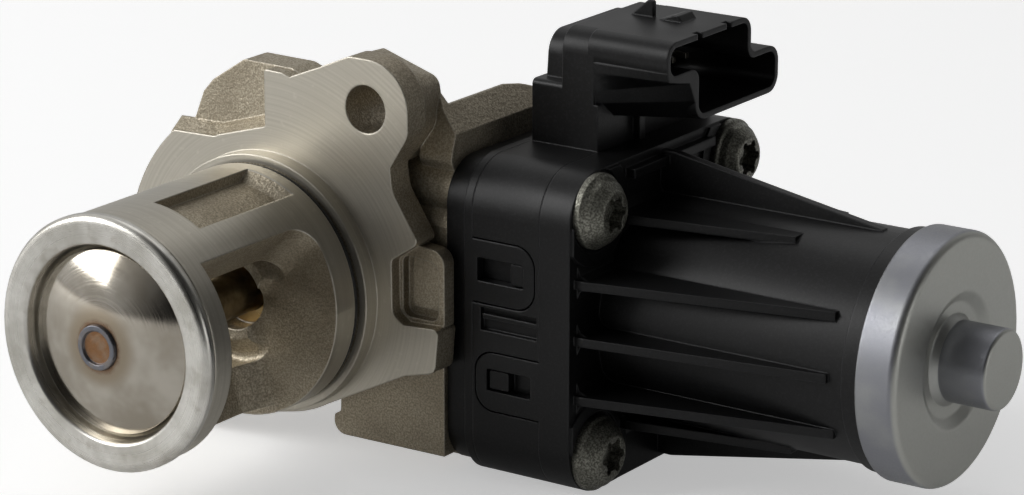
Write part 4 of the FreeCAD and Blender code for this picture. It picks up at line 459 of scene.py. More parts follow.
@dataclass(frozen=True)
class WeldSteel:
    """Oxidised ripples of the weld bead."""

    blue: Colour = (0.15, 0.16, 0.19)
    tan: Colour = (0.33, 0.27, 0.20)
    rough: tuple[float, float] = (0.25, 0.42)
    clouds: float = 900.0
    cloud_height: float = 0.02 * MM

    def paint(self, g: Graph) -> None:
        """Tint the ripples from blue to tan.

        Args:
            g: the empty graph.
        """
        cloud = g.noise(g.coordinates(), self.clouds, detail=3.0, roughness=0.6)
        g.surface(Base_Color=g.blend(g.span(cloud, 0.42, 0.66), self.blue, self.tan), Metallic=1.0,
                  Roughness=g.span(cloud, *SPREAD, *self.rough),
                  Normal=g.bump(cloud, self.cloud_height, 0.6))


@dataclass(frozen=True)
class LipSteel:
    """Satin stainless of the rolled lip, spun on a lathe."""

    dark: Colour = (0.50, 0.482, 0.435)
    light: Colour = (0.70, 0.682, 0.635)
    smoke: Colour = (0.33, 0.30, 0.245)
    rough: tuple[float, float] = (0.24, 0.36)
    rings: float = 2500.0
    ring_height: float = 0.008 * MM
    clouds: float = 160.0
    patches: float = 420.0
    edge_rounding: float = 0.3 * MM

    def paint(self, g: Graph) -> None:
        """Spin the lip's rings and smoke it in patches.

        Args:
            g: the empty graph.
        """
        position = g.coordinates()
        _, y, _ = g.parts(position)
        rings = g.noise(g.join(y, g.axis_radius(), 0.0), self.rings)
        cloud = g.noise(position, self.clouds, detail=3.0, roughness=0.6)
        colour = g.blend(g.span(cloud, *SPREAD), self.dark, self.light)
        patches = g.span(g.noise(position, self.patches, 3.0), 0.55, 0.75, 0.0, 0.4)
        g.surface(Base_Color=g.blend(patches, colour, self.smoke), Metallic=1.0,
                  Roughness=g.span(rings, 0.2, 0.8, *self.rough),
                  Normal=g.bump(rings, self.ring_height, 0.7, g.edge_round(self.edge_rounding)))


@dataclass(frozen=True)
class ZincPlate:
    """Zinc-plated pressed steel, grey-beige on its face, with painted shade making its rim darker and bluish.
    """

    face: Colour = (0.46, 0.463, 0.430)
    # colour of the painted shade on the rim
    painted_rim_shade: Colour = (0.27, 0.275, 0.298)
    smear: Colour = (0.45, 0.455, 0.43)
    rough: tuple[float, float] = (0.36, 0.46)
    clouds: float = 90.0
    grain: float = 3000.0
    grain_height: float = 0.010 * MM
    edge_rounding: float = 0.4 * MM

    def paint(self, g: Graph) -> None:
        """Plate the faces across the motor's axis, and paint shade on the rim along it.

        Args:
            g: the empty graph.
        """
        position = g.coordinates()
        cloud = g.noise(position, self.clouds, detail=3.0, roughness=0.55)
        grain = g.noise(position, self.grain)
        facing = g.add("ShaderNodeNewGeometry").outputs["Normal"]
        facing_shade_mask = g.math("ABSOLUTE", g.parts(facing)[0])
        # painted shade: surfaces that run along the motor's axis get a darker, bluish colour than the faces
        # across it
        colour = g.blend(g.span(facing_shade_mask, 0.3, 0.8), self.painted_rim_shade, self.face)
        colour = g.blend(g.span(cloud, 0.45, 0.7, 0.0, 0.35), colour, self.smear)
        colour = g.tinted_edges(colour, self.smear, self.edge_rounding, share=0.5)
        g.surface(Base_Color=colour, Metallic=0.9, Roughness=g.span(grain, *SPREAD, *self.rough),
                  Normal=g.bump(grain, self.grain_height, 0.6, g.edge_round(self.edge_rounding)))


@dataclass(frozen=True)
class ZincFlake:
    """Grainy zinc-flake coat of the screws, a little worn."""

    dark: Colour = (0.105, 0.102, 0.084)
    light: Colour = (0.290, 0.288, 0.245)
    worn: Colour = (0.42, 0.415, 0.37)
    rough: tuple[float, float] = (0.55, 0.38)
    grain: float = 3400.0
    grain_height: float = 0.03 * MM
    clouds: float = 360.0
    edge_reach: float = 0.3 * MM
    edge_rounding: float = 0.25 * MM

    def paint(self, g: Graph) -> None:
        """Lay the flakes and wear the edges.

        Args:
            g: the empty graph.
        """
        position = g.coordinates()
        grain = g.noise(position, self.grain, detail=3.0, roughness=0.6)
        colour = g.blend(g.span(grain, 0.40, 0.64), self.dark, self.light)
        colour = g.blend(g.span(g.noise(position, self.clouds), 0.5, 0.75, 0.0, 0.5), colour, self.dark)
        colour = g.tinted_edges(colour, self.worn, self.edge_reach, share=0.5)
        g.surface(Base_Color=colour, Metallic=0.7, Roughness=g.span(grain, *SPREAD, *self.rough),
                  Normal=g.bump(grain, self.grain_height, 0.8, g.edge_round(self.edge_rounding)))


@dataclass(frozen=True)
class BlackMoulding:
    """Glass-filled black moulding, satin, with a fine speckle, smoother edges and a painted highlight on its
    edges.
    """

    dark: Colour = (0.0035, 0.0035, 0.0037)
    light: Colour = (0.0100, 0.0102, 0.0108)
    # colour of the painted highlight on the sharp edges
    edge: Colour = (0.050, 0.050, 0.053)
    rough: tuple[float, float] = (0.36, 0.46)
    speckle: float = 2600.0
    speckle_height: float = 0.02 * MM
    clouds: float = 60.0
    gloss: float = 0.28
    edge_polish: float = 0.12
    edge_reach: float = 0.3 * MM
    edge_rounding: float = 0.35 * MM

    def paint(self, g: Graph) -> None:
        """Speckle the faces, make the edges smoother and paint a highlight on them.

        Args:
            g: the empty graph.
        """
        position = g.coordinates()
        speckle = g.noise(position, self.speckle, roughness=0.6)
        colour = g.blend(g.span(speckle, 0.45, 0.75), self.dark, self.light)
        edges = g.edge_mask(self.edge_reach)
        rough = g.between(g.span(g.noise(position, self.clouds), *SPREAD), *self.rough)
        rough = g.math("SUBTRACT", rough, g.math("MULTIPLY", edges, self.edge_polish))
        # painted highlight: the sharp edges get a lighter colour, where light would catch them
        g.surface(Base_Color=g.blend(g.math("MULTIPLY", edges, 0.7), colour, self.edge), Metallic=0.0,
                  Roughness=rough, Specular_IOR_Level=self.gloss,
                  Normal=g.bump(speckle, self.speckle_height, 0.6, g.edge_round(self.edge_rounding)))


@dataclass(frozen=True)
class SealRubber:
    """Black sealing rubber with a dusty bloom."""

    dark: Colour = (0.009, 0.009, 0.009)
    bloom: Colour = (0.030, 0.028, 0.025)
    rough: tuple[float, float] = (0.42, 0.55)
    grain: float = 2200.0
    grain_height: float = 0.01 * MM
    dust: float = 300.0

    def paint(self, g: Graph) -> None:
        """Dust the rubber.

        Args:
            g: the empty graph.
        """
        position = g.coordinates()
        grain = g.noise(position, self.grain)
        dust = g.span(g.noise(position, self.dust, 3.0), 0.45, 0.75)
        g.surface(Base_Color=g.blend(dust, self.dark, self.bloom),
                  Roughness=g.span(grain, *SPREAD, *self.rough),
                  Normal=g.bump(grain, self.grain_height, 0.5))


@dataclass(frozen=True)
class GearMoulding:
    """Pale filled nylon of the gear wheels, with flow marks."""

    base: Colour = (0.52, 0.50, 0.42)
    flow: Colour = (0.42, 0.395, 0.32)
    flow_scale: float = 220.0
    rough: tuple[float, float] = (0.40, 0.52)
    grain: float = 2400.0
    grain_height: float = 0.01 * MM
    edge_rounding: float = 0.15 * MM

    def paint(self, g: Graph) -> None:
        """Mark the flow of the nylon.

        Args:
            g: the empty graph.
        """
        position = g.coordinates()
        flow = g.noise(g.scaled(position, (2.0, 1.0, 1.0)), self.flow_scale, 3.0)
        grain = g.noise(position, self.grain)
        g.surface(Base_Color=g.blend(g.span(flow, 0.35, 0.7), self.base, self.flow),
                  Roughness=g.span(grain, *SPREAD, *self.rough),
                  Normal=g.bump(grain, self.grain_height, 0.5, g.edge_round(self.edge_rounding)))


@dataclass(frozen=True)
class CircuitBoard:
    """Green solder mask over copper tracks, with a few bright pads."""

    mask: Colour = (0.018, 0.085, 0.035)
    track: Colour = (0.035, 0.155, 0.062)
    pad: Colour = (0.55, 0.53, 0.48)
    mask_rough: float = 0.42
    pad_rough: float = 0.28
    track_scale: float = 900.0
    track_height: float = 0.02 * MM
    pad_scale: float = 420.0
    edge_rounding: float = 0.1 * MM

    def paint(self, g: Graph) -> None:
        """Draw the tracks and set the pads.

        Args:
            g: the empty graph.
        """
        position = g.coordinates()
        tracks = g.cells(g.scaled(position, (0.2, 1.0, 0.35)), self.track_scale)
        colour = g.blend(g.span(tracks, 0.30, 0.34), self.track, self.mask)
        on_pad = g.span(g.cells(position, self.pad_scale), 0.16, 0.19, 1.0, 0.0)
        g.surface(Base_Color=g.blend(on_pad, colour, self.pad), Metallic=g.math("MULTIPLY", on_pad, 0.9),
                  Roughness=g.between(on_pad, self.mask_rough, self.pad_rough),
                  Normal=g.bump(tracks, self.track_height, 0.4, g.edge_round(self.edge_rounding)))


@dataclass(frozen=True)
class BarCopper:
    """Copper of the commutator, cut into bars by dark grooves round the motor's axis."""

    axis_y: float
    axis_z: float
    bars: int = 10
    copper: Colour = (0.42, 0.23, 0.12)
    track: Colour = (0.20, 0.105, 0.06)
    groove: Colour = (0.02, 0.016, 0.012)
    rough: tuple[float, float] = (0.25, 0.4)
    clouds: float = 500.0
    edge_rounding: float = 0.15 * MM

    def paint(self, g: Graph) -> None:
        """Cut the bars and darken the track of the brushes.

        Args:
            g: the empty graph.
        """
        position = g.coordinates()
        _, y, z = g.parts(position)
        angle = g.math("ARCTAN2", g.math("SUBTRACT", z, self.axis_z), g.math("SUBTRACT", y, self.axis_y))
        share = g.math("FRACT", g.math("MULTIPLY", angle, self.bars / (2 * math.pi)))
        groove = g.span(g.math("ABSOLUTE", g.math("SUBTRACT", share, 0.5)), 0.44, 0.47)
        cloud = g.noise(g.scaled(position, (6.0, 1.0, 1.0)), self.clouds)
        colour = g.blend(g.span(cloud, 0.35, 0.65), self.copper, self.track)
        g.surface(Base_Color=g.blend(groove, colour, self.groove), Metallic=0.95,
                  Roughness=g.span(cloud, *SPREAD, *self.rough), Normal=g.edge_round(self.edge_rounding))


class Finish(Enum):
    """Every finish on the object."""

    CASTING = "cast_aluminium"
    LIP = "lip_steel"
    HEAD = "poppet_steel"
    STEM = "stem_steel"
    WELD = "weld_steel"
    STEEL = "ground_steel"
    SPRING = "spring_steel"
    LAMINATE = "laminated_steel"
    CAP = "zinc_plate"
    SCREW = "zinc_flake"
    BRONZE = "bronze"
    PIN = "tinned_copper"
    WIRE = "enamelled_wire"
    BARS = "commutator_copper"
    RUBBER = "seal_rubber"
    PLASTIC = "black_moulding"
    GEAR = "gear_moulding"
    MAGNET = "sintered_magnet"
    BOARD = "circuit_board"


class Palette:
    """Makes each finish once and hands out its material."""

    def __init__(self, motor_axis: tuple[float, float]) -> None:
        """Set up every finish, with no material made yet.

        Args:
            motor_axis: y and z of the motor's axis.
        """
        self._made: dict[Finish, bpy.types.Material] = {}
        self._paints: dict[Finish, Paint] = {
            Finish.CASTING: CastAluminium(),
            Finish.LIP: LipSteel(),
            Finish.HEAD: PoppetSteel(),
            Finish.STEM: StemSteel(),
            Finish.WELD: WeldSteel(),
            Finish.STEEL: WornMetal((0.42, 0.41, 0.39), 0.27),
            Finish.SPRING: WornMetal((0.26, 0.26, 0.27), 0.35),
            Finish.LAMINATE: WornMetal((0.24, 0.24, 0.25), 0.42),
            Finish.CAP: ZincPlate(),
            Finish.SCREW: ZincFlake(),
            Finish.BRONZE: WornMetal((0.36, 0.25, 0.11), 0.32),
            Finish.PIN: WornMetal((0.30, 0.28, 0.24), 0.38),
            Finish.WIRE: WornMetal((0.40, 0.15, 0.05), 0.25, 0.05, 0.85, 900.0),
            Finish.BARS: BarCopper(*motor_axis),
            Finish.RUBBER: SealRubber(),
            Finish.PLASTIC: BlackMoulding(),
            Finish.GEAR: GearMoulding(),
            Finish.MAGNET: WornMetal((0.10, 0.10, 0.105), 0.55, 0.08, 0.6),
            Finish.BOARD: CircuitBoard(),
        }

    def get(self, finish: Finish) -> bpy.types.Material:
        """Material of one finish.

        Args:
            finish: which finish.

        Returns:
            The material, made on first use.
        """
        if finish not in self._made:
            material = bpy.data.materials.new(finish.value)
            self._paints[finish].paint(Graph(material))
            self._made[finish] = material
        return self._made[finish]


# ------------------------------------------------------------------ geometry nodes helper
class PieceTree(NodeTree):
    """One Geometry Nodes tree that makes a piece, with named inputs for its sizes."""

    def __init__(self, name: str) -> None:
        """Start a tree that takes and gives one geometry.

        Args:
            name: name of the tree and of the piece.
        """
        super().__init__(bpy.data.node_groups.new(name + "_tree", "GeometryNodeTree"))
        self.name = name
        for way in ("INPUT", "OUTPUT"):
            self.tree.interface.new_socket("Geometry", in_out=way, socket_type="NodeSocketGeometry")
        self.entry = self.tree.nodes.new("NodeGroupInput")
        self.exit = self.tree.nodes.new("NodeGroupOutput")
        self._sizes: dict[str, float | int] = {}

    def size(self, name: str, value: float | int) -> bpy.types.NodeSocket:
        """Add a named size input.

        Args:
            name: what the size is.
            value: its value, whole for a count.

        Returns:
            The socket that gives it.
        """
        kind = "NodeSocketInt" if isinstance(value, int) else "NodeSocketFloat"
        item = self.tree.interface.new_socket(name, in_out="INPUT", socket_type=kind)
        self._sizes[item.identifier] = value
        return next(socket for socket in self.entry.outputs if socket.identifier == item.identifier)

    def vector(self, x: object, y: object, z: object) -> bpy.types.NodeSocket:
        """Make a vector from three numbers."""
        return self.add("ShaderNodeCombineXYZ", {"X": x, "Y": y, "Z": z}).outputs[0]

    def turned(self, geometry: bpy.types.NodeSocket, turn: Sequence[float],
               shift: object) -> bpy.types.NodeSocket:
        """Turn a geometry and move it to its place."""
        inputs = {"Geometry": geometry, "Rotation": tuple(turn), "Translation": shift}
        return self.add("GeometryNodeTransform", inputs).outputs[0]

    def beads(self, count: bpy.types.NodeSocket, radius: bpy.types.NodeSocket,
              ball: dict[str, float], scale: object, lean: float = 0.0) -> bpy.types.NodeSocket:
        """Set stretched balls round a circle.

        Args:
            count: how many balls.
            radius: radius of the circle.
            ball: segments, rings and radius of one ball.
            scale: how far each ball is stretched.
            lean: turn of each ball about its second axis.

        Returns:
            The instances.
        """
        ring = self.add("GeometryNodeCurvePrimitiveCircle", {"Resolution": count, "Radius": radius})
        points = self.add("GeometryNodeCurveToPoints", {"Curve": ring.outputs["Curve"]}, mode="EVALUATED")
        round_ball = self.add("GeometryNodeMeshUVSphere", ball)
        smooth = self.add("GeometryNodeSetShadeSmooth", {"Geometry": round_ball.outputs["Mesh"]})
        shaped = self.add("GeometryNodeTransform", {
            "Geometry": smooth.outputs[0], "Rotation": (0.0, lean, 0.0), "Scale": scale})
        laid = self.add("GeometryNodeInstanceOnPoints", {
            "Points": points.outputs["Points"], "Instance": shaped.outputs[0],
            "Rotation": points.outputs["Rotation"]})
        return laid.outputs[0]

    def bake(self, geometry: bpy.types.NodeSocket, material: bpy.types.Material,
             start: bpy.types.Mesh | None = None) -> bpy.types.Object:
        """Close the tree, run it once, and keep its result as a plain mesh.

        Args:
            geometry: what the tree makes.
            material: the finish it gets.
            start: the mesh that the tree starts from, if any.

        Returns:
            The finished piece, at the origin.
        """
        real = self.add("GeometryNodeRealizeInstances", {"Geometry": geometry}).outputs[0]
        dressed = self.add("GeometryNodeSetMaterial", {"Geometry": real, "Material": material}).outputs[0]
        self.tree.links.new(dressed, self.exit.inputs[0])
        host = bpy.data.objects.new(self.name + "_host", start or bpy.data.meshes.new(self.name + "_start"))
        bpy.context.scene.collection.objects.link(host)
        modifier = host.modifiers.new("make", "NODES")
        modifier.node_group = self.tree
        for identifier, value in self._sizes.items():
            modifier[identifier] = value
        bpy.context.view_layer.update()
        graph = bpy.context.evaluated_depsgraph_get()
        mesh = bpy.data.meshes.new_from_object(host.evaluated_get(graph))
        host.modifiers.remove(modifier)
        bpy.data.objects.remove(host)
        mesh.name = self.name
        piece = bpy.data.objects.new(self.name, mesh)
        bpy.context.scene.collection.objects.link(piece)
        return piece


# ------------------------------------------------------------------ sub-assemblies
@dataclass
class SubAssembly:
    """A group of nodes and pieces that belong together."""

    nodes: dict[str, bpy.types.Object]
    palette: Palette
    finishes: ClassVar[dict[str, Finish]] = {}

    def dress(self) -> None:
        """Give each of the group's nodes its finish."""
        for name, finish in self.finishes.items():
            slots = self.nodes[name].data.materials
            slots.clear()
            slots.append(self.palette.get(finish))
            LOG.info("finish %s on %s", finish.value, name)

    def build(self) -> None:
        """Make the group's own pieces."""

    def keep(self, piece: bpy.types.Object, body: str, slot: str) -> None:
        """Hand a finished piece to the frame.

        Args:
            piece: the piece.
            body: the body it rides on.
            slot: not used.
        """
        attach(piece, body)
        LOG.info("piece %s, %d faces, rides on %s", piece.name, len(piece.data.polygons), body)


@dataclass
class Casting(SubAssembly):
    """The cast body with its seat ring, bush, bearing sleeves and seals, and the return spring."""

    valve_travel: float = 6.5 * MM
    finishes: ClassVar[dict[str, Finish]] = {
        "valve_housing": Finish.CASTING,
        "seat_ring": Finish.LIP,
        "guide_bush": Finish.BRONZE,
        "stem_seal": Finish.RUBBER,
        "nose_seal_ring": Finish.RUBBER,
        "shaft_bush": Finish.BRONZE,
        "shaft_bearing": Finish.STEEL,
        "return_spring": Finish.SPRING,
    }

    def build(self) -> None:
        """Stand a copy of the rigid spring's mesh in its place, on the housing, and hide the rigid spring."""
        rigid = self.nodes["return_spring"]
        coil = bpy.data.objects.new("spring_coil", rigid.data.copy())
        bpy.context.scene.collection.objects.link(coil)
        self.keep(coil, "housing", "spring_steel")
        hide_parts("return_spring")
        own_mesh(coil)


@dataclass
class Poppet(SubAssembly):
    """The moving valve, with the ripples of the weld that holds its head on the stem."""

    ripples: int = 26
    ring_radius: float = 2.78 * MM
    ripple_long: float = 0.50 * MM
    ripple_wide: float = 0.40 * MM
    ripple_high: float = 0.34 * MM
    ripple_ball: ClassVar[dict[str, float]] = {"Segments": 14, "Rings": 9, "Radius": 1.0}
    lean: float = 0.35
    standing: float = 1.35
    finishes: ClassVar[dict[str, Finish]] = {
        "valve_head": Finish.HEAD,
        "valve_stem": Finish.STEM,
        "spring_retainer": Finish.STEEL,
        "stem_carrier": Finish.STEEL,
        "roller_pin": Finish.STEEL,
        "cam_roller": Finish.STEEL,
    }

    def build(self) -> None:
        """Lay the overlapping ripples round the end of the stem."""
        tree = PieceTree("weld_ripples")
        count = tree.size("Ripples", self.ripples)
        radius = tree.size("Ring radius", self.ring_radius)
        long, wide, high = (tree.size("Ripple length", self.ripple_long),
                            tree.size("Ripple width", self.ripple_wide),
                            tree.size("Ripple height", self.ripple_high))
        laid = tree.beads(count, radius, self.ripple_ball, tree.vector(long, wide, high), self.lean)
        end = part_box("valve_stem")[0].y
        depth = tree.size("Depth", end + self.ripple_high * self.standing)
        placed = tree.turned(laid, (math.pi / 2, 0.0, 0.0), tree.vector(0.0, depth, 0.0))
        self.keep(tree.bake(placed, self.palette.get(Finish.WELD)), "valve", "stainless")


@dataclass
class CamDrive(SubAssembly):
    """Cam, output shaft and the gear train."""

    finishes: ClassVar[dict[str, Finish]] = {
        "cam_disc": Finish.STEEL,
        "output_shaft": Finish.STEEL,
        "output_gear": Finish.GEAR,
        "sensor_magnet": Finish.MAGNET,
        "intermediate_gear": Finish.GEAR,
        "gear_axle": Finish.STEEL,
        "motor_pinion": Finish.STEEL,
    }


@dataclass
class Motor(SubAssembly):
    """The motor, with the wire of its five coils and the hooks of its commutator."""

    coils: int = 5
    turns: int = 5
    wire_radius: float = 0.30 * MM
    first_turn: float = 4.9 * MM
    turn_pitch: float = 0.68 * MM
    slot_side: float = 0.36 * MM
    overhang: float = 0.55 * MM
    overhang_step: float = 0.22 * MM
    bow: float = 0.5 * MM
    end_points: int = 9
    wire_facets: int = 8
    hooks: int = 10
    hook_size: tuple[float, float, float] = (0.9 * MM, 0.8 * MM, 1.3 * MM)
    hook_ball: ClassVar[dict[str, float]] = {"Segments": 12, "Rings": 8, "Radius": 0.5}
    hook_standing: float = 0.2
    finishes: ClassVar[dict[str, Finish]] = {
        "motor_shaft": Finish.STEEL,
        "armature": Finish.LAMINATE,
        "commutator": Finish.BARS,
        "motor_bushes": Finish.BRONZE,
        "motor_can": Finish.STEEL,
        "field_magnets": Finish.MAGNET,
        "end_cap": Finish.CAP,
    }

    def _coil_path(self, turn: int, half_length: float) -> list[Vector]:
        """Points of one turn round one tooth, with the motor's axis as X and the tooth on +Z.

        Args:
            turn: which turn, counted from the shaft outwards.
            half_length: half the length of the core.

        Returns:
            The closed loop's points.
        """
        radius = self.first_turn + turn * self.turn_pitch
        reach = half_length + self.overhang + turn * self.overhang_step
        half_angle = math.pi / self.coils - self.slot_side / radius
        points = []
        for side in (1, -1):
            for k in range(self.end_points):
                share = k / (self.end_points - 1)
                angle = side * half_angle * (2 * share - 1)
                bow = self.bow * math.sin(math.pi * share)
                points.append(Vector((side * (reach + bow), radius * math.sin(angle),
                                      radius * math.cos(angle))))
        return points

    def _windings(self) -> None:
        """Wind every coil: one loop per turn swept as wire, and the set repeated round the shaft."""
        low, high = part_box("armature")
        half_length = (high.x - low.x) / 2
        vertices: list[Vector] = []
        edges: list[tuple[int, int]] = []
        for turn in range(self.turns):
            loop = self._coil_path(turn, half_length)
            first = len(vertices)
            vertices += loop
            edges += [(first + k, first + (k + 1) % len(loop)) for k in range(len(loop))]
        path = bpy.data.meshes.new("coil_path")
        path.from_pydata(vertices, edges, [])
        tree = PieceTree("armature_windings")
        count = tree.size("Coils", self.coils)
        thick = tree.size("Wire radius", self.wire_radius)
        line = tree.add("GeometryNodeMeshToCurve", {"Mesh": tree.entry.outputs["Geometry"]})
        profile = tree.add("GeometryNodeCurvePrimitiveCircle",
                           {"Resolution": self.wire_facets, "Radius": thick})
        wire = tree.add("GeometryNodeCurveToMesh", {"Curve": line.outputs["Curve"],
                                                    "Profile Curve": profile.outputs["Curve"]})
        smooth = tree.add("GeometryNodeSetShadeSmooth", {"Geometry": wire.outputs["Mesh"]})
        ring = tree.add("GeometryNodeMeshLine", {"Count": count, "Offset": (0.0, 0.0, 0.0)})
        index = tree.add("GeometryNodeInputIndex").outputs[0]
        step = tree.add("ShaderNodeMath", {0: 2 * math.pi, 1: count}, operation="DIVIDE")
        turn_by = tree.add("ShaderNodeMath", {0: index, 1: step.outputs[0], 2: math.pi / self.coils},
                           operation="MULTIPLY_ADD")
        laid = tree.add("GeometryNodeInstanceOnPoints", {
            "Points": ring.outputs["Mesh"], "Instance": smooth.outputs[0],
            "Rotation": tree.vector(turn_by.outputs[0], 0.0, 0.0)})
        axis_low, axis_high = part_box("motor_shaft")
        centre = ((low.x + high.x) / 2, (axis_low.y + axis_high.y) / 2, (axis_low.z + axis_high.z) / 2)
        placed = tree.turned(laid.outputs[0], (0.0, 0.0, 0.0), centre)
        self.keep(tree.bake(placed, self.palette.get(Finish.WIRE), path), "rotor", "copper")

    def _hooks(self) -> None:
        """Set the wire hooks round the inner end of the commutator."""
        low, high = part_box("commutator")
        radius = (high.z - low.z) / 2
        tree = PieceTree("commutator_hooks")
        count = tree.size("Hooks", self.hooks)
        reach = tree.size("Hook circle", radius + self.hook_size[2] * self.hook_standing)
        laid = tree.beads(count, reach, self.hook_ball, tuple(self.hook_size))
        place = (low.x + self.hook_size[0], (low.y + high.y) / 2, (low.z + high.z) / 2)
        placed = tree.turned(laid, (0.0, math.pi / 2, 0.0), place)
        self.keep(tree.bake(placed, self.palette.get(Finish.BARS)), "rotor", "copper")

    def build(self) -> None:
        """Make the windings and the hooks."""
        self._windings()
        self._hooks()


@dataclass
class PlasticBlock(SubAssembly):
    """The three plastic layers, their screws, and the plug's pins and board."""

    finishes: ClassVar[dict[str, Finish]] = {
        "gear_carrier": Finish.PLASTIC,
        "connector_cover": Finish.PLASTIC,
        "motor_housing": Finish.PLASTIC,
        "contact_pins": Finish.PIN,
        "sensor_board": Finish.BOARD,
        "cover_screws": Finish.SCREW,
    }


GROUPS: tuple[type[SubAssembly], ...] = (Casting, Poppet, CamDrive, Motor, PlasticBlock)


# ------------------------------------------------------------------ studio
@dataclass(frozen=True)
class CameraPlace:
    """Where the camera stands and how it looks."""

    location: Vector
    azimuth: float
    elevation: float
    roll: float
    lens: float
    sensor: float = 36.0
    clip: tuple[float, float] = (0.01, 20.0)

    def build(self) -> bpy.types.Object:
        """Make the camera and use it.

        Returns:
            The camera object.
        """
        data = bpy.data.cameras.new("camera")
        data.lens = self.lens
        data.sensor_width = self.sensor
        data.clip_start, data.clip_end = self.clip
        camera = bpy.data.objects.new("camera", data)
        bpy.context.scene.collection.objects.link(camera)
        azimuth, elevation = math.radians(self.azimuth), math.radians(self.elevation)
        back = Vector((math.sin(azimuth) * math.cos(elevation),
                       -math.cos(azimuth) * math.cos(elevation), math.sin(elevation)))
        turn = (-back).to_track_quat("-Z", "Y").to_matrix()
        roll = Matrix.Rotation(math.radians(self.roll), 3, "Z")
        camera.matrix_world = Matrix.Translation(self.location) @ (turn @ roll).to_4x4()
        bpy.context.scene.camera = camera
        return camera


@dataclass(frozen=True)
class SoftLight:
    """A square area light aimed at the middle of the object."""

    name: str
    location: tuple[float, float, float]
    size: float
    watts: float
    colour: Colour = (1.0, 1.0, 1.0)

    def build(self, target: Vector) -> None:
        """Make the light.

        Args:
            target: the point it is aimed at.
        """
        data = bpy.data.lights.new(self.name, "AREA")
        data.shape = "SQUARE"
        data.size = self.size
        data.energy = self.watts
        data.color = self.colour
        light = bpy.data.objects.new(self.name, data)
        light.location = self.location
        light.rotation_mode = "QUATERNION"
        light.rotation_quaternion = (target - Vector(self.location)).to_track_quat("-Z", "Y")
        bpy.context.scene.collection.objects.link(light)


@dataclass(frozen=True)
class RoomSide:
    """A bright side of the room, which fades with the angle from its middle."""

    aim: tuple[float, float, float]
    start: float
    full: float
    level: float


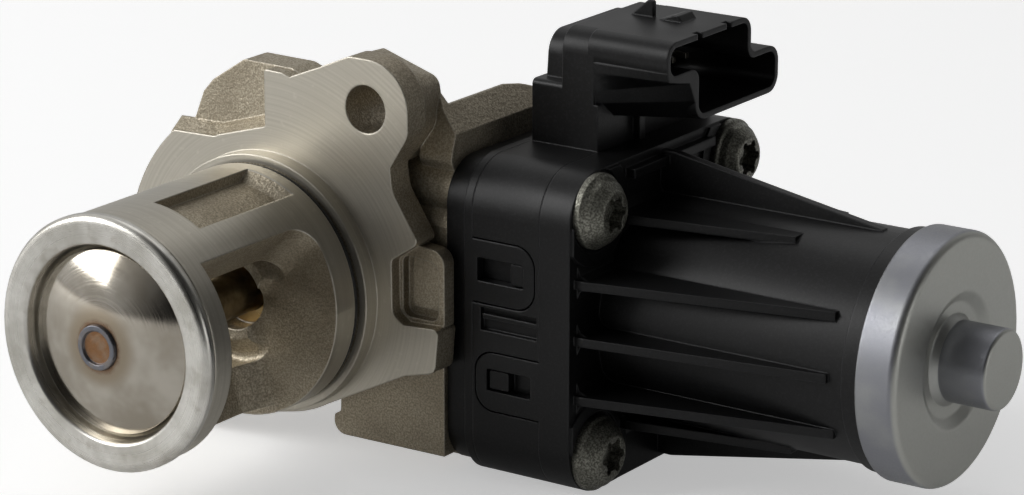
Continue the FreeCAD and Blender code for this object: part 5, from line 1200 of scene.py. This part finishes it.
class Studio:
    """Pale floor, soft lights and the camera."""

    CAMERA = CameraPlace(Vector((336.68, -428.9, 168.44)) * MM, 34.436, 16.735, 0.065, 137.6)
    LIGHTS = (
        SoftLight("key_left", (-0.90, -0.72, 0.58), 0.8, 11.5),
        SoftLight("top_back", (-0.15, 0.45, 1.0), 0.7, 1.1),
        SoftLight("right_low", (0.95, 0.15, 0.10), 0.4, 0.7),
    )
    FILL = RoomSide((-0.85, -0.30, 0.42), -0.3, 1.0, 0.32)
    FILL_REST = 0.035
    BACKDROP = RoomSide((-0.25, 0.85, 0.45), 0.4, 0.98, 0.42)
    WINDOW = RoomSide((-0.85, -0.30, 0.42), 0.3, 0.95, 0.6)
    MIRRORED_REST = 0.018
    FLOOR_HALF = 6.0
    FLOOR_COLOUR: Colour = (0.9, 0.9, 0.9)
    FLOOR_GLOW_SEEN = 0.45
    FLOOR_GLOW_MIRRORED = 0.1
    WHITE: Colour = (1.0, 1.0, 1.0)

    def build(self, target: Vector, floor_height: float) -> None:
        """Make the studio round the object.

        Args:
            target: middle of the object.
            floor_height: height of the floor.
        """
        self.CAMERA.build()
        for light in self.LIGHTS:
            light.build(target)
        bpy.context.scene.world = self._world()
        self._floor(floor_height)
        bpy.context.scene.view_settings.view_transform = "Standard"

    def _world(self) -> bpy.types.World:
        """Make the surroundings: white to the camera, bright sides to gloss, and a soft room to the rest.

        Returns:
            The world.
        """
        world = bpy.data.worlds.new("studio")
        world.use_nodes = True
        nodes = NodeTree(world.node_tree)
        nodes.tree.nodes.clear()
        direction = nodes.add("ShaderNodeTexCoord").outputs["Generated"]

        def towards(side: RoomSide) -> bpy.types.NodeSocket:
            """Light up one side of the room.

            Args:
                side: the side.

            Returns:
                Its brightness in each direction.
            """
            dot = nodes.add("ShaderNodeVectorMath", {0: direction, 1: Vector(side.aim).normalized()},
                            operation="DOT_PRODUCT")
            inputs = {"Value": dot.outputs["Value"], "From Min": side.start, "From Max": side.full,
                      "To Max": side.level}
            return nodes.add("ShaderNodeMapRange", inputs, interpolation_type="SMOOTHSTEP").outputs["Result"]

        def added(a: object, b: object) -> bpy.types.NodeSocket:
            """Sum of two levels, held at 1."""
            return nodes.add("ShaderNodeMath", {0: a, 1: b}, operation="ADD", use_clamp=True).outputs[0]

        def background(level: object) -> bpy.types.NodeSocket:
            """A background of one level."""
            return nodes.add("ShaderNodeBackground", {"Color": level}).outputs[0]

        room = background(added(towards(self.FILL), self.FILL_REST))
        shown = background(added(added(towards(self.BACKDROP), towards(self.WINDOW)), self.MIRRORED_REST))
        path = nodes.add("ShaderNodeLightPath").outputs
        glossy = added(path["Is Glossy Ray"], path["Is Transmission Ray"])
        lit = nodes.add("ShaderNodeMixShader", {0: glossy, 1: room, 2: shown}).outputs[0]
        seen = nodes.add("ShaderNodeMixShader", {0: path["Is Camera Ray"], 1: lit, 2: background(self.WHITE)})
        nodes.add("ShaderNodeOutputWorld", {"Surface": seen.outputs[0]})
        return world

    def _floor(self, height: float) -> None:
        """Args:
            height: its height.
        """
        mesh = bpy.data.meshes.new("floor")
        corners = [(x * self.FLOOR_HALF, y * self.FLOOR_HALF, height)
                   for x, y in ((-1, -1), (1, -1), (1, 1), (-1, 1))]
        mesh.from_pydata(corners, [], [(0, 1, 2, 3)])
        floor = bpy.data.objects.new("floor", mesh)
        bpy.context.scene.collection.objects.link(floor)
        material = bpy.data.materials.new("floor")
        graph = Graph(material)
        path = graph.add("ShaderNodeLightPath").outputs
        mirrored = graph.math("ADD", path["Is Glossy Ray"], path["Is Transmission Ray"])
        glow = graph.math("ADD", graph.math("MULTIPLY", path["Is Camera Ray"], self.FLOOR_GLOW_SEEN),
                          graph.math("MULTIPLY", mirrored, self.FLOOR_GLOW_MIRRORED))
        graph.surface(Base_Color=self.FLOOR_COLOUR, Roughness=0.8, Emission_Color=self.WHITE,
                      Emission_Strength=glow)
        mesh.materials.append(material)
        floor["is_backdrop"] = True


def motor_axis() -> tuple[float, float]:
    """Y and Z of the motor's axis, from the box of its shaft."""
    low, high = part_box("motor_shaft")
    return (low.y + high.y) / 2, (low.z + high.z) / 2


def main() -> None:
    """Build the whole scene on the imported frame."""
    logging.basicConfig(level=logging.INFO, format="%(message)s")
    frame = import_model()
    frame_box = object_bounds()
    low, high = frame_box
    palette = Palette(motor_axis())
    for group in GROUPS:
        part = group(frame["nodes"], palette)
        part.dress()
        part.build()
    Studio().build((low + high) / 2, low.z - FLOOR_GAP)


if __name__ == "__main__":
    main()
